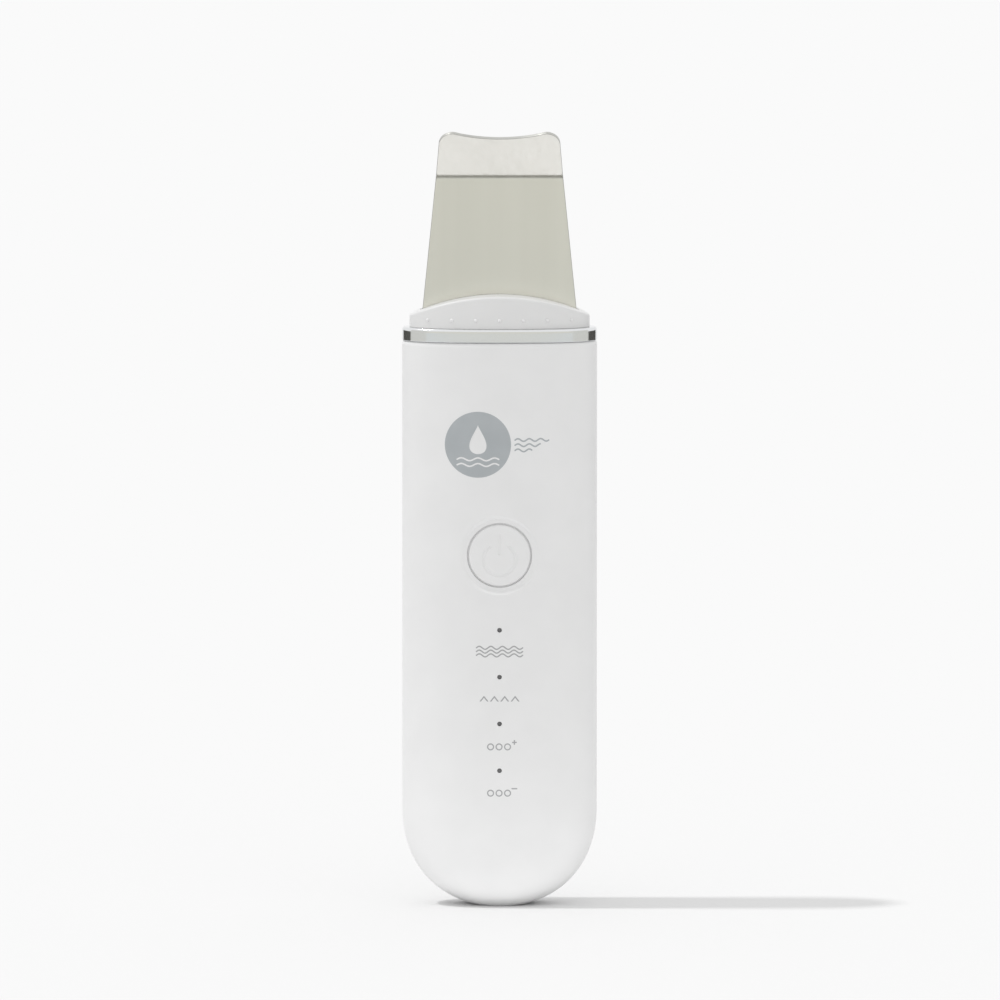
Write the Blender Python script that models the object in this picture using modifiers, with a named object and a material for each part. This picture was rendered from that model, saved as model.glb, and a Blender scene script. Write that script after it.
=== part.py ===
"""Handheld ultrasonic skin scrubber, in metres.

It stands on its rounded end at z = 0, with the steel blade on top and the button facing -Y.
"""

import math

import bmesh
import bpy
from mathutils import Matrix, Vector

MM = 0.001
CLEARANCE = 0.3 * MM  # between pieces that touch
HALF_SEAM = 0.15 * MM  # each shell stops this far from the parting plane y = 0

# Casing: an oval column whose lower end is rounded and cut flat at z = 0 for the foot.
BODY_HALF_WIDTH = 20.7 * MM
BODY_HALF_DEPTH = 8.5 * MM
SECTION_POWER = 2.3
WALL = 1.8 * MM
SHELL_TOP = 120.3 * MM
END_FRONT = {"top": 20.95 * MM, "height": 21.4 * MM, "power": 2.2}  # seen from the front
END_SIDE = {"top": 11.0 * MM, "height": 12.0 * MM, "power": 2.6}  # seen from the side
RING_POINTS = 32
END_RINGS = 9
GASKET_TOP = 108.1 * MM
GASKET_HALF_WIDTH = 1.2 * MM
GASKET_INSETS = (0.6 * MM, 1.5 * MM)  # of its two sides, from the casing's inner face

# Button well, in the front shell.
BUTTON_Z = 75.4 * MM
BUTTON_RADIUS = 6.65 * MM
BUTTON_FACE_Y = -8.15 * MM
BUTTON_FLANGE_RADIUS = 7.9 * MM
BUTTON_FLANGE_Y = (-5.7 * MM, -4.9 * MM)
BUTTON_TRAVEL = 0.5 * MM
DISH_RADIUS = 8.1 * MM
DISH_Y = -7.85 * MM
SEAT_Y = -6.0 * MM
SEAT_RADIUS = 9.3 * MM
SEAT_RIM = 1.0 * MM
RETAINER_HOLE_RADIUS = 6.2 * MM
RETAINER_THICKNESS = 0.8 * MM
BUTTON_EDGE = 0.3 * MM

# Mode lights, from the button downwards.
LIGHT_Z = [59.5 * MM, 49.5 * MM, 39.5 * MM, 29.5 * MM]
LIGHT_RADIUS = 0.575 * MM
LIGHT_FACE_Y = -8.4 * MM
LIGHT_STRIP_Y = (-5.6 * MM, -4.8 * MM)
LIGHT_STUB_Y = -3.4 * MM
LIGHT_MARGIN = 1.5 * MM  # of the strip round the pins
LED_SIZE = (0.8 * MM, 0.6 * MM, 1.6 * MM)

# Circuit board.
BOARD_Y = (-2.2 * MM, -1.2 * MM)
BOARD_Z = (16.5 * MM, 85.6 * MM)
BOARD_HALF_WIDTH = 13.0 * MM
FRONT_PARTS_Y = BOARD_Y[0] - CLEARANCE
BACK_PARTS_Y = BOARD_Y[1] + CLEARANCE
BOARD_SCREWS = [(11.0 * MM, 21.0 * MM), (-11.0 * MM, 82.1 * MM)]
BOARD_POST_RADIUS = 2.0 * MM
BOARD_TIP_Y = -4.0 * MM
SWITCH_FRONT_Y = -3.9 * MM
SWITCH_PLUNGER_Y = (-4.6 * MM, -3.6 * MM)
SWITCH_PLUNGER_RADIUS = 1.5 * MM
SWITCH_HALF = 3.0 * MM

# Screws: shank and head radii, and the hole that clears the shank.
SHANK_RADIUS = 0.9 * MM
SHANK_HOLE_RADIUS = SHANK_RADIUS + CLEARANCE
HEAD_RADIUS = 1.8 * MM
HEAD_HEIGHT = 1.4 * MM
HEAD_WELL_RADIUS = HEAD_RADIUS + CLEARANCE
BOSS_RADIUS = 3.0 * MM
CASE_SCREWS_LOW = [(-10.0 * MM, 11.0 * MM), (10.0 * MM, 11.0 * MM)]
CASE_SCREWS_HIGH = [(-13.0 * MM, 111.6 * MM), (13.0 * MM, 111.6 * MM)]
CASE_SCREWS = CASE_SCREWS_LOW + CASE_SCREWS_HIGH
CASE_HEAD_Y = 3.3 * MM
CASE_TIP_Y = -4.5 * MM
EAR_HALF_THICKNESS = 1.0 * MM
FLUSH_DEPTH = 0.1 * MM  # plugs and cover sit this far below the casing's surface

# Charging port on the lower back, under a silicone cover.
PORT_Z = 22.0 * MM
SOCKET_HALF = (4.47 * MM, 1.63 * MM)
SOCKET_WALL = 0.3 * MM
SOCKET_MOUTH_Y = 6.2 * MM
SOCKET_CORNER = 1.4 * MM
SOCKET_BACK = 1.2 * MM
TONGUE_HALF = (3.35 * MM, 0.35 * MM)
TONGUE_END_Y = 5.4 * MM
COVER_HALF_WIDTH = 7.0 * MM
COVER_Z = (14.8 * MM, 26.2 * MM)
COVER_INNER_Y = 7.3 * MM
COVER_PLUG_Y = 6.5 * MM
COVER_CORNER = 2.0 * MM
COVER_PLUG = (4.1 * MM, 1.3 * MM, 1.0 * MM)  # half width, half height, corner
COVER_JOINT = 0.3 * MM  # how far the plug reaches into the flap
PORT_OPENING_CORNER = 1.5 * MM
PORT_PAD_Y = 5.4 * MM
PORT_PAD_RIM = 1.2 * MM
PORT_PAD_CORNER = 2.5 * MM

# Battery.
BATTERY_HALF_WIDTH = 10.0 * MM
BATTERY_Y = (-0.8 * MM, 5.0 * MM)
BATTERY_Z = (29.1 * MM, 69.1 * MM)
BATTERY_EDGE = 0.8 * MM
BATTERY_PAD_HALF_WIDTH = 7.0 * MM
BATTERY_PAD_MARGIN = 4.0 * MM
BATTERY_PAD_BACK_Y = 6.0 * MM

# Head: chromed band, then the white collar, then the blade.
BAND_Z = (120.6 * MM, 122.9 * MM)
COLLAR_HALF_WIDTH = 19.1 * MM
COLLAR_HALF_DEPTH = 7.3 * MM
COLLAR_BASE_Z = 123.2 * MM
COLLAR_SHOULDER_Z = 126.0 * MM
COLLAR_TOP_Z = 130.3 * MM
NECK_HALF_WIDTH = BODY_HALF_WIDTH - WALL - CLEARANCE
NECK_HALF_DEPTH = BODY_HALF_DEPTH - WALL - CLEARANCE
NECK_WALL = 1.5 * MM
NECK_BOTTOM_Z = 115.1 * MM
PIP_Z = 125.2 * MM
PIP_PITCH = 5.07 * MM
PIP_RADIUS = 0.45 * MM
TAB_Y = 5.7 * MM
TAB_SHEET = 0.6 * MM
TAB_HALF_WIDTH = 1.5 * MM
TAB_BOTTOM_Z = 113.6 * MM
GASKET_HALF = (6.2 * MM, 2.1 * MM)
GASKET_GAP = 0.1 * MM

# Blade: a flat, tapered sheet whose tip is bent towards the front.
BLADE_THICKNESS = 0.8 * MM
BLADE_ROOT = (16.5 * MM, 125.4 * MM)  # half width, z
BLADE_BEND = (13.45 * MM, 155.4 * MM)
BLADE_TIP_HALF_WIDTH = 12.85 * MM
BLADE_TIP_LENGTH = 11.4 * MM
BLADE_CORNER_RADIUS = 3.0 * MM
BLADE_BEND_RADIUS = 2.4 * MM
BLADE_END_DIP = 1.4 * MM
BLADE_TILT = math.radians(33)
TANG_HALF_WIDTH = 5.5 * MM
TANG_BOTTOM_Z = 111.1 * MM

# Transducer stack on the axis x = y = 0.
STACK_RADIUS = 5.0 * MM
BOLT_RADIUS = 1.5 * MM
BOLT_HEAD_Z = (87.1 * MM, 89.6 * MM)
BACK_MASS_Z = (89.9 * MM, 95.9 * MM)
PIEZO_Z = [(96.2 * MM, 98.2 * MM), (99.2 * MM, 101.2 * MM)]
PIEZO_BORE_RADIUS = 2.5 * MM
ELECTRODE_Z = (98.5 * MM, 98.9 * MM)
HORN_Z = (101.5 * MM, 104.5 * MM, 118.1 * MM)  # base, step, end
HORN_NECK_RADIUS = 3.5 * MM
BLADE_SCREW_Z = [113.1 * MM, 116.6 * MM]
SLEEVE_Z = (104.8 * MM, 108.3 * MM)
SLEEVE_RADIUS = 5.2 * MM
CLAMP_Z = (105.1 * MM, 108.1 * MM)
CLAMP_SCREW_X = 8.4 * MM
CLAMP_TIP_Y = -4.0 * MM
CLAMP_HALF_WIDTH = 11.0 * MM
CLAMP_POST_RADIUS = 2.3 * MM

CLAMP_SCREWS = [(side * CLAMP_SCREW_X, sum(CLAMP_Z) / 2) for side in (-1, 1)]
CLAMP_HEAD_Y = 2.2 * MM
SADDLE_SPAN = (CLAMP_Z[0] - MM, CLAMP_Z[1] + MM)
ELECTRODE_TAB_X = 6.6 * MM
BLADE_SCREW_HOLE = 1.1 * MM
BLADE_SCREW_HEAD = (1.5 * MM, 0.8 * MM)  # radius, height
BOLT_HEAD_RADIUS = 2.75 * MM
ELECTRODE_TAB_HALF = 1.2 * MM

WIRE_RADIUS = 0.45 * MM

OUTSIDE = 12 * MM  # a depth beyond the casing, where cutters end
FACING_FRONT = (math.pi / 2, 0, 0)  # turns local +Z to -Y
FACING_BACK = (-math.pi / 2, 0, 0)  # turns local +Z to +Y

# Materials: colour, roughness, metallic.
FINISHES = {
    "white_plastic": ((0.82, 0.82, 0.81), 0.45, 0.0),
    "clear_plastic": ((0.16, 0.16, 0.17), 0.15, 0.0),
    "black_plastic": ((0.03, 0.03, 0.03), 0.5, 0.0),
    "silicone": ((0.72, 0.72, 0.71), 0.7, 0.0),
    "foam": ((0.08, 0.08, 0.08), 0.9, 0.0),
    "chrome": ((0.80, 0.81, 0.82), 0.08, 1.0),
    "blade_steel": ((0.62, 0.62, 0.59), 0.3, 1.0),
    "screw_steel": ((0.45, 0.45, 0.46), 0.35, 1.0),
    "aluminium": ((0.70, 0.71, 0.72), 0.35, 1.0),
    "copper": ((0.72, 0.42, 0.25), 0.35, 1.0),
    "ceramic": ((0.30, 0.29, 0.27), 0.6, 0.0),
    "board_green": ((0.03, 0.20, 0.08), 0.45, 0.0),
    "light_white": ((0.90, 0.88, 0.80), 0.4, 0.0),
    "battery_wrap": ((0.55, 0.57, 0.60), 0.3, 0.6),
    "red_wire": ((0.55, 0.03, 0.03), 0.5, 0.0),
    "black_wire": ((0.02, 0.02, 0.02), 0.5, 0.0),
    "white_wire": ((0.80, 0.80, 0.78), 0.5, 0.0),
}


def clear_scene():
    for obj in list(bpy.data.objects):
        bpy.data.objects.remove(obj, do_unlink=True)


def new_collection(name):
    collection = bpy.data.collections.new(name)
    bpy.context.scene.collection.children.link(collection)
    return collection


clear_scene()
PARTS = new_collection("skin_scrubber")
CUTTERS = new_collection("cutters")


def finish_material(name):
    """The named finish as a Principled material, made once."""
    if name in bpy.data.materials:
        return bpy.data.materials[name]
    colour, roughness, metallic = FINISHES[name]
    material = bpy.data.materials.new(name)
    material.use_nodes = True
    shader = material.node_tree.nodes["Principled BSDF"]
    shader.inputs["Base Color"].default_value = (*colour, 1.0)
    shader.inputs["Roughness"].default_value = roughness
    shader.inputs["Metallic"].default_value = metallic
    return material


def add_object(name, mesh, finish=None, location=(0, 0, 0), rotation=(0, 0, 0)):
    """A part if it has a finish, and a hidden cutter if it has none."""
    obj = bpy.data.objects.new(name, mesh)
    obj.location = location
    obj.rotation_euler = rotation
    if finish:
        mesh.materials.append(finish_material(finish))
        PARTS.objects.link(obj)
    else:
        CUTTERS.objects.link(obj)
        obj.hide_render = True
        obj.display_type = "WIRE"
    return obj


def mesh_from(name, bm, smooth=False):
    mesh = bpy.data.meshes.new(name)
    bmesh.ops.recalc_face_normals(bm, faces=bm.faces)
    bm.to_mesh(mesh)
    bm.free()
    if smooth:
        mesh.shade_smooth()
        mesh.set_sharp_from_angle(angle=math.radians(35))
    return mesh


def box(name, low, high, finish=None, bevel=0.0):
    """A box between two opposite corners, placed at its centre."""
    size = Vector(high) - Vector(low)
    bm = bmesh.new()
    bmesh.ops.create_cube(bm, size=1.0, matrix=Matrix.Diagonal((*size, 1.0)))
    obj = add_object(name, mesh_from(name, bm), finish, (Vector(low) + Vector(high)) / 2)
    if bevel:
        edges = obj.modifiers.new("rounded_edges", "BEVEL")
        edges.width = bevel
        edges.segments = 1
    return obj


def cylinder(name, radius, start, end, finish=None, axis="Z", at=(0, 0), sides=20):
    """A cylinder along an axis; at holds (x, y) for axis Z, (x, z) for axis Y and (y, z) for axis X."""
    bm = bmesh.new()
    bmesh.ops.create_cone(
        bm, cap_ends=True, segments=sides, radius1=radius, radius2=radius, depth=end - start
    )
    middle = (start + end) / 2
    mesh = mesh_from(name, bm, smooth=True)
    if axis == "Z":
        return add_object(name, mesh, finish, (at[0], at[1], middle))
    if axis == "Y":
        return add_object(name, mesh, finish, (at[0], middle, at[1]), (math.pi / 2, 0, 0))
    return add_object(name, mesh, finish, (middle, *at), (0, math.pi / 2, 0))


def cross_hole(name, radius, at, start=-OUTSIDE, end=OUTSIDE, sides=12):
    """A cutter along Y at (x, z)."""
    return cylinder(name, radius, start, end, axis="Y", at=at, sides=sides)


def turned(name, profile, finish, location=(0, 0, 0), rotation=(0, 0, 0), steps=24):
    """A solid of revolution about local Z; the profile holds (radius, z) from the top axis point down."""
    mesh = bpy.data.meshes.new(name)
    points = [(radius, 0.0, z) for radius, z in profile]
    mesh.from_pydata(points, [(i, i + 1) for i in range(len(points) - 1)], [])
    obj = add_object(name, mesh, finish, location, rotation)
    screw = obj.modifiers.new("turn", "SCREW")
    screw.axis = "Z"
    screw.steps = steps
    screw.render_steps = steps
    screw.use_merge_vertices = True
    screw.merge_threshold = 0.00001
    screw.use_smooth_shade = True
    return obj


def flat_outline(name, points, start, end, finish=None, axis="Y"):
    """A closed outline extruded between two positions; points are (x, z) for axis Y, (x, y) for axis Z."""
    curve = bpy.data.curves.new(name, "CURVE")
    curve.dimensions = "2D"
    curve.fill_mode = "BOTH"
    curve.extrude = (end - start) / 2
    spline = curve.splines.new("POLY")
    spline.points.add(len(points) - 1)
    for point, (across, along) in zip(spline.points, points):
        point.co = (across, along, 0.0, 1.0)
    spline.use_cyclic_u = True
    middle = (start + end) / 2
    if axis == "Y":
        return add_curve_as_mesh(name, curve, finish, (0, middle, 0), (math.pi / 2, 0, 0))
    return add_curve_as_mesh(name, curve, finish, (0, 0, middle), (0, 0, 0))


def rounded_rectangle(half_width, half_height, radius, middle, steps=4):
    """An outline in x and z about (0, middle), anticlockwise seen from the front."""
    points = []
    for corner in range(4):
        sx = 1 if corner in (0, 3) else -1
        sz = 1 if corner < 2 else -1
        for k in range(steps + 1):
            angle = math.pi / 2 * (corner + k / steps)
            x = sx * (half_width - radius) + radius * math.cos(angle)
            points.append((x, middle + sz * (half_height - radius) + radius * math.sin(angle)))
    return points


def add_curve_as_mesh(name, curve, finish, location, rotation):
    """The curve's evaluated mesh with its caps welded on; the curve itself is removed."""
    guide = bpy.data.objects.new(name + "_curve", curve)
    CUTTERS.objects.link(guide)
    guide.location = location
    guide.rotation_euler = rotation
    bpy.context.view_layer.update()
    graph = bpy.context.evaluated_depsgraph_get()
    mesh = bpy.data.meshes.new_from_object(guide.evaluated_get(graph))
    placed = guide.matrix_world.copy()
    bpy.data.objects.remove(guide, do_unlink=True)
    bm = bmesh.new()
    bm.from_mesh(mesh)
    bmesh.ops.remove_doubles(bm, verts=bm.verts, dist=0.000001)
    bmesh.ops.recalc_face_normals(bm, faces=bm.faces)
    bm.to_mesh(mesh)
    bm.free()
    obj = add_object(name, mesh, finish)
    obj.matrix_world = placed
    return obj


def smooth_route(points, steps=5):
    """Points along a Catmull-Rom curve through the route's own points."""
    route = [Vector(point) for point in points]
    route = [2 * route[0] - route[1], *route, 2 * route[-1] - route[-2]]
    found = []
    for a, b, c, d in zip(route, route[1:], route[2:], route[3:]):
        for step in range(steps):
            t = step / steps
            bend = 2 * a - 5 * b + 4 * c - d
            twist = 3 * b - a - 3 * c + d
            found.append((2 * b + (c - a) * t + bend * t * t + twist * t**3) / 2)
    return [*found, route[-2]]


def wire(name, points, finish):
    curve = bpy.data.curves.new(name, "CURVE")
    curve.dimensions = "3D"
    curve.bevel_depth = WIRE_RADIUS
    curve.bevel_resolution = 1
    curve.use_fill_caps = True
    route = smooth_route(points, 3)
    spline = curve.splines.new("POLY")
    spline.points.add(len(route) - 1)
    for point, place in zip(spline.points, route):
        point.co = (*place, 1.0)
    curve.materials.append(finish_material(finish))
    obj = bpy.data.objects.new(name, curve)
    PARTS.objects.link(obj)
    return obj


def boolean(target, tool, operation):
    modifier = target.modifiers.new(tool.name, "BOOLEAN")
    modifier.operation = operation
    modifier.solver = "EXACT"
    modifier.object = tool


def cut(target, *tools):
    for tool in tools:
        boolean(target, tool, "DIFFERENCE")


def join(target, *tools):
    for tool in tools:
        boolean(target, tool, "UNION")


def keep_inside(target, tool):
    boolean(target, tool, "INTERSECT")


def use_manifold_solver(*objects):
    """For pieces with many cuts on lofted faces, where the exact solver leaves open edges."""
    for obj in objects:
        for modifier in obj.modifiers:
            if modifier.type == "BOOLEAN":
                modifier.solver = "MANIFOLD"


# Oval sections and the solids lofted through them.


def oval(half_width, half_depth, z, power=SECTION_POWER):
    """A superellipse ring at height z."""
    ring = []
    for k in range(RING_POINTS):
        angle = 2 * math.pi * k / RING_POINTS
        c, s = math.cos(angle), math.sin(angle)
        x = math.copysign(abs(c) ** (2 / power), c) * half_width
        y = math.copysign(abs(s) ** (2 / power), s) * half_depth
        ring.append((x, y, z))
    return ring


def end_scale(z, inset, end):
    """How far the rounded end has closed in at height z: 1 above it, less within it."""
    if z >= end["top"]:
        return 1.0
    share = (end["top"] - z) / (end["height"] - inset)
    return (1 - share ** end["power"]) ** (1 / end["power"])


def body_ring(z, inset):
    return oval(
        (BODY_HALF_WIDTH - inset) * end_scale(z, inset, END_FRONT),
        (BODY_HALF_DEPTH - inset) * end_scale(z, inset, END_SIDE),
        z,
    )


def loft(name, rings, finish=None):
    """A closed solid through rings of equal point counts, with flat ends."""
    bm = bmesh.new()
    rows = [[bm.verts.new(point) for point in ring] for ring in rings]
    for low, high in zip(rows, rows[1:]):
        for k in range(RING_POINTS):
            after = (k + 1) % RING_POINTS
            bm.faces.new((low[k], low[after], high[after], high[k]))
    bm.faces.new(reversed(rows[0]))
    bm.faces.new(rows[-1])
    return add_object(name, mesh_from(name, bm, smooth=True), finish)


def body_form(name, inset, top, finish=None):
    """The casing's outer form, moved inwards by inset and ending at height top."""
    span = END_FRONT["top"] - inset
    heights = [
        inset + span * (1 - math.cos(math.pi / 2 * k / END_RINGS)) for k in range(END_RINGS + 1)
    ]
    return loft(name, [body_ring(z, inset) for z in [*heights, top]], finish)


def oval_column(name, half_width, half_depth, low, high, finish=None):
    rings = [oval(half_width, half_depth, z) for z in (low, high)]
    return loft(name, rings, finish)


# Casing.


def halve(obj, side):
    """Keeps the half of a closed mesh on one side of the parting plane (-1 front, 1 back)."""
    bm = bmesh.new()
    bm.from_mesh(obj.data)
    bmesh.ops.bisect_plane(
        bm,
        geom=[*bm.verts, *bm.edges, *bm.faces],
        plane_co=(0, side * HALF_SEAM, 0),
        plane_no=(0, side, 0),
        clear_inner=True,
    )
    bmesh.ops.holes_fill(bm, edges=[edge for edge in bm.edges if edge.is_boundary])
    bmesh.ops.recalc_face_normals(bm, faces=bm.faces)
    bm.to_mesh(obj.data)
    bm.free()


def boss_ends(places):
    """How near to the parting plane each screw's bosses come: the upper ones leave room for an ear."""
    ear = EAR_HALF_THICKNESS + CLEARANCE
    return [ear if place in CASE_SCREWS_HIGH else HALF_SEAM for place in places]


def button_seat():
    """The thick round seat under the button, with a rim that carries the retainer."""
    at = (0, BUTTON_Z)
    rim_end = BUTTON_FLANGE_Y[1] + BUTTON_TRAVEL
    seat = cylinder("button_seat", SEAT_RADIUS, -OUTSIDE, rim_end, axis="Y", at=at, sides=32)
    room = cylinder("button_room", SEAT_RADIUS - SEAT_RIM, SEAT_Y, OUTSIDE, axis="Y", at=at, sides=32)
    cut(seat, room)
    return seat


def sleeve_saddle():
    """The front half of the seat that holds the isolation sleeve."""
    low = (-CLAMP_SCREW_X, -OUTSIDE, CLAMP_Z[0])
    saddle = box("sleeve_saddle", low, (CLAMP_SCREW_X, -HALF_SEAM, CLAMP_Z[1]))
    cut(saddle, cylinder("saddle_bore", SLEEVE_RADIUS + CLEARANCE, *SADDLE_SPAN, sides=32))
    return saddle


def front_shell():
    """The cavity is first cut where posts and seats stay solid, and is then taken out of the form."""
    cavity = body_form("front_cavity", WALL, SHELL_TOP + WALL)
    for k, (at, end) in enumerate(zip(CASE_SCREWS, boss_ends(CASE_SCREWS))):
        cut(cavity, cylinder(f"front_boss_{k + 1}", BOSS_RADIUS, -OUTSIDE, -end, axis="Y", at=at))
    for k, at in enumerate(CLAMP_SCREWS):
        post = cylinder(f"clamp_post_{k + 1}", CLAMP_POST_RADIUS, -OUTSIDE, -HALF_SEAM, axis="Y", at=at)
        cut(cavity, post)
    for k, at in enumerate(BOARD_SCREWS):
        end = BOARD_Y[0] - CLEARANCE
        cut(cavity, cylinder(f"board_post_{k + 1}", BOARD_POST_RADIUS, -OUTSIDE, end, axis="Y", at=at))
    cut(cavity, button_seat(), sleeve_saddle())

    shell = body_form("front_shell", 0.0, SHELL_TOP, "white_plastic")
    halve(shell, -1)
    cut(shell, cavity)
    for k, at in enumerate(CASE_SCREWS + CLAMP_SCREWS + BOARD_SCREWS):
        cut(shell, cross_hole(f"pilot_{k + 1}", SHANK_HOLE_RADIUS, at, CASE_TIP_Y - CLEARANCE))
    at = (0, BUTTON_Z)
    well = cylinder("button_well", BUTTON_RADIUS + CLEARANCE, -OUTSIDE, 0, axis="Y", at=at, sides=40)
    dish = cylinder("button_dish", DISH_RADIUS, -OUTSIDE, DISH_Y, axis="Y", at=at, sides=40)
    cut(shell, well, dish)
    for k, z in enumerate(LIGHT_Z):
        radius = LIGHT_RADIUS + CLEARANCE
        cut(shell, cylinder(f"light_hole_{k + 1}", radius, -OUTSIDE, 0, axis="Y", at=(0, z), sides=12))
    use_manifold_solver(cavity, shell)


def back_shell():
    cavity = body_form("back_cavity", WALL, SHELL_TOP + WALL)
    for k, (at, end) in enumerate(zip(CASE_SCREWS, boss_ends(CASE_SCREWS))):
        cut(cavity, cylinder(f"back_boss_{k + 1}", BOSS_RADIUS, end, OUTSIDE, axis="Y", at=at))
    middle = sum(COVER_Z) / 2
    half_height = (COVER_Z[1] - COVER_Z[0]) / 2
    margin = CLEARANCE + PORT_PAD_RIM
    pad = rounded_rectangle(
        COVER_HALF_WIDTH + margin, half_height + margin, PORT_PAD_CORNER, middle
    )
    cut(cavity, flat_outline("port_pad", pad, PORT_PAD_Y, OUTSIDE))

    shell = body_form("back_shell", 0.0, SHELL_TOP, "white_plastic")
    halve(shell, 1)
    cut(shell, cavity)
    for k, at in enumerate(CASE_SCREWS):
        hole = cross_hole(f"shank_hole_{k + 1}", SHANK_HOLE_RADIUS, at, start=0)
        start = CASE_HEAD_Y - CLEARANCE
        well = cross_hole(f"head_well_{k + 1}", HEAD_WELL_RADIUS, at, start, sides=20)
        cut(shell, hole, well)
    recess = rounded_rectangle(
        COVER_HALF_WIDTH + CLEARANCE, half_height + CLEARANCE, COVER_CORNER + CLEARANCE, middle
    )
    cut(shell, flat_outline("cover_recess", recess, COVER_INNER_Y - CLEARANCE, OUTSIDE))
    half_x, half_z = (half + CLEARANCE for half in SOCKET_HALF)
    opening = rounded_rectangle(half_x, half_z, PORT_OPENING_CORNER, PORT_Z)
    cut(shell, flat_outline("port_opening", opening, 0, OUTSIDE))
    use_manifold_solver(cavity, shell)


def edge_line(inset, top):
    """The form's front outline at the given inset: down the right side and round to the left one."""
    span = END_FRONT["top"] - inset
    angles = [math.pi / 2 * k / END_RINGS for k in range(END_RINGS + 1)]
    heights = [top, *(inset + span * (1 - math.cos(angle)) for angle in reversed(angles))]
    right = [((BODY_HALF_WIDTH - inset) * end_scale(z, inset, END_FRONT), z) for z in heights]
    return right + [(-x, z) for x, z in reversed(right)]


def seam_gasket():
    """A U-shaped strip that closes the seam from inside."""
    outer, inner = (edge_line(WALL + inset, GASKET_TOP) for inset in GASKET_INSETS)
    flat_outline(
        "seam_gasket", outer + inner[::-1], -GASKET_HALF_WIDTH, GASKET_HALF_WIDTH, "silicone"
    )


def screw(name, at, head_y, tip_y, head_height=HEAD_HEIGHT):
    """A pan-head screw along Y, entered from the back, whose head sits on the plane y = head_y."""
    profile = [
        (0, head_height),
        (0.8 * HEAD_RADIUS, head_height),
        (HEAD_RADIUS, 0.6 * head_height),
        (HEAD_RADIUS, 0),
        (SHANK_RADIUS, 0),
        (SHANK_RADIUS, tip_y - head_y + SHANK_RADIUS),
        (0, tip_y - head_y),
    ]
    return turned(name, profile, "screw_steel", (at[0], head_y, at[1]), FACING_BACK, steps=12)


def case_screws():
    for k, at in enumerate(CASE_SCREWS):
        screw(f"case_screw_{k + 1}", at, CASE_HEAD_Y, CASE_TIP_Y)
        start = CASE_HEAD_Y + HEAD_HEIGHT + CLEARANCE
        plug = cylinder(f"screw_plug_{k + 1}", HEAD_RADIUS, start, OUTSIDE, "silicone", axis="Y", at=at)
        keep_inside(plug, body_form(f"plug_limit_{k + 1}", FLUSH_DEPTH, SHELL_TOP))


# Button and switch.


def power_button():
    """A cap with a flange; local +Z faces the front, and the origin is on the flange's back."""
    face = BUTTON_FLANGE_Y[1] - BUTTON_FACE_Y
    flange = BUTTON_FLANGE_Y[1] - BUTTON_FLANGE_Y[0]
    edge = BUTTON_EDGE
    profile = [
        (0, face),
        (BUTTON_RADIUS - edge, face),
        (BUTTON_RADIUS, face - edge),
        (BUTTON_RADIUS, flange),
        (BUTTON_FLANGE_RADIUS, flange),
        (BUTTON_FLANGE_RADIUS, 0),
        (0, 0),
    ]
    location = (0, BUTTON_FLANGE_Y[1], BUTTON_Z)
    turned("power_button", profile, "white_plastic", location, FACING_FRONT, steps=40)


def button_retainer():
    """A ring on the seat's rim that stops the cap from falling inwards."""
    front = BUTTON_FLANGE_Y[1] + BUTTON_TRAVEL + CLEARANCE
    back = front + RETAINER_THICKNESS
    at = (0, BUTTON_Z)
    ring = cylinder(
        "button_retainer", SEAT_RADIUS, front, back, "white_plastic", axis="Y", at=at, sides=32
    )
    cut(ring, cylinder("retainer_hole", RETAINER_HOLE_RADIUS, -OUTSIDE, 0, axis="Y", at=at, sides=32))


def tact_switch():
    half = SWITCH_HALF
    body = box(
        "switch_body",
        (-half, SWITCH_FRONT_Y, BUTTON_Z - half),
        (half, FRONT_PARTS_Y, BUTTON_Z + half),
        "black_plastic",
    )
    at = (0, BUTTON_Z)
    floor = SWITCH_PLUNGER_Y[1] + BUTTON_TRAVEL + CLEARANCE
    radius = SWITCH_PLUNGER_RADIUS
    cut(body, cylinder("plunger_bore", radius + CLEARANCE, -OUTSIDE, floor, axis="Y", at=at))
    cylinder("switch_plunger", radius, *SWITCH_PLUNGER_Y, "black_plastic", axis="Y", at=at)


# Mode lights.


def light_guide():
    """One clear piece: a strip with four pins that reach the front and four stubs over the lights."""
    margin = LIGHT_MARGIN
    strip = box(
        "light_guide",
        (-margin, LIGHT_STRIP_Y[0], LIGHT_Z[-1] - margin),
        (margin, LIGHT_STRIP_Y[1], LIGHT_Z[0] + margin),
        "clear_plastic",
    )
    for k, z in enumerate(LIGHT_Z):
        pin = cylinder(
            f"light_pin_{k + 1}", LIGHT_RADIUS, LIGHT_FACE_Y, LIGHT_STUB_Y, axis="Y", at=(0, z), sides=12
        )
        join(strip, pin)


def mode_lights():
    width, height, length = LED_SIZE
    for k, z in enumerate(LIGHT_Z):
        low = (-width / 2, FRONT_PARTS_Y - height, z - length / 2)
        box(f"led_{k + 1}", low, (width / 2, FRONT_PARTS_Y, z + length / 2), "light_white")


# Circuit board.


def main_board():
    low = (-BOARD_HALF_WIDTH, BOARD_Y[0], BOARD_Z[0])
    board = box("main_board", low, (BOARD_HALF_WIDTH, BOARD_Y[1], BOARD_Z[1]), "board_green")
    for k, at in enumerate(BOARD_SCREWS):
        cut(board, cross_hole(f"board_hole_{k + 1}", SHANK_HOLE_RADIUS, at))
        screw(f"board_screw_{k + 1}", at, BACK_PARTS_Y, BOARD_TIP_Y, head_height=MM)


def board_part(name, at, size, finish, front=False):
    """A block on one face of the board, at (x, z); size holds width, height off the board, length."""
    width, height, length = size
    low_y = FRONT_PARTS_Y - height if front else BACK_PARTS_Y
    low = (at[0] - width / 2, low_y, at[1] - length / 2)
    return box(name, low, (low[0] + width, low_y + height, low[2] + length), finish, bevel=0.2 * MM)


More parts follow.
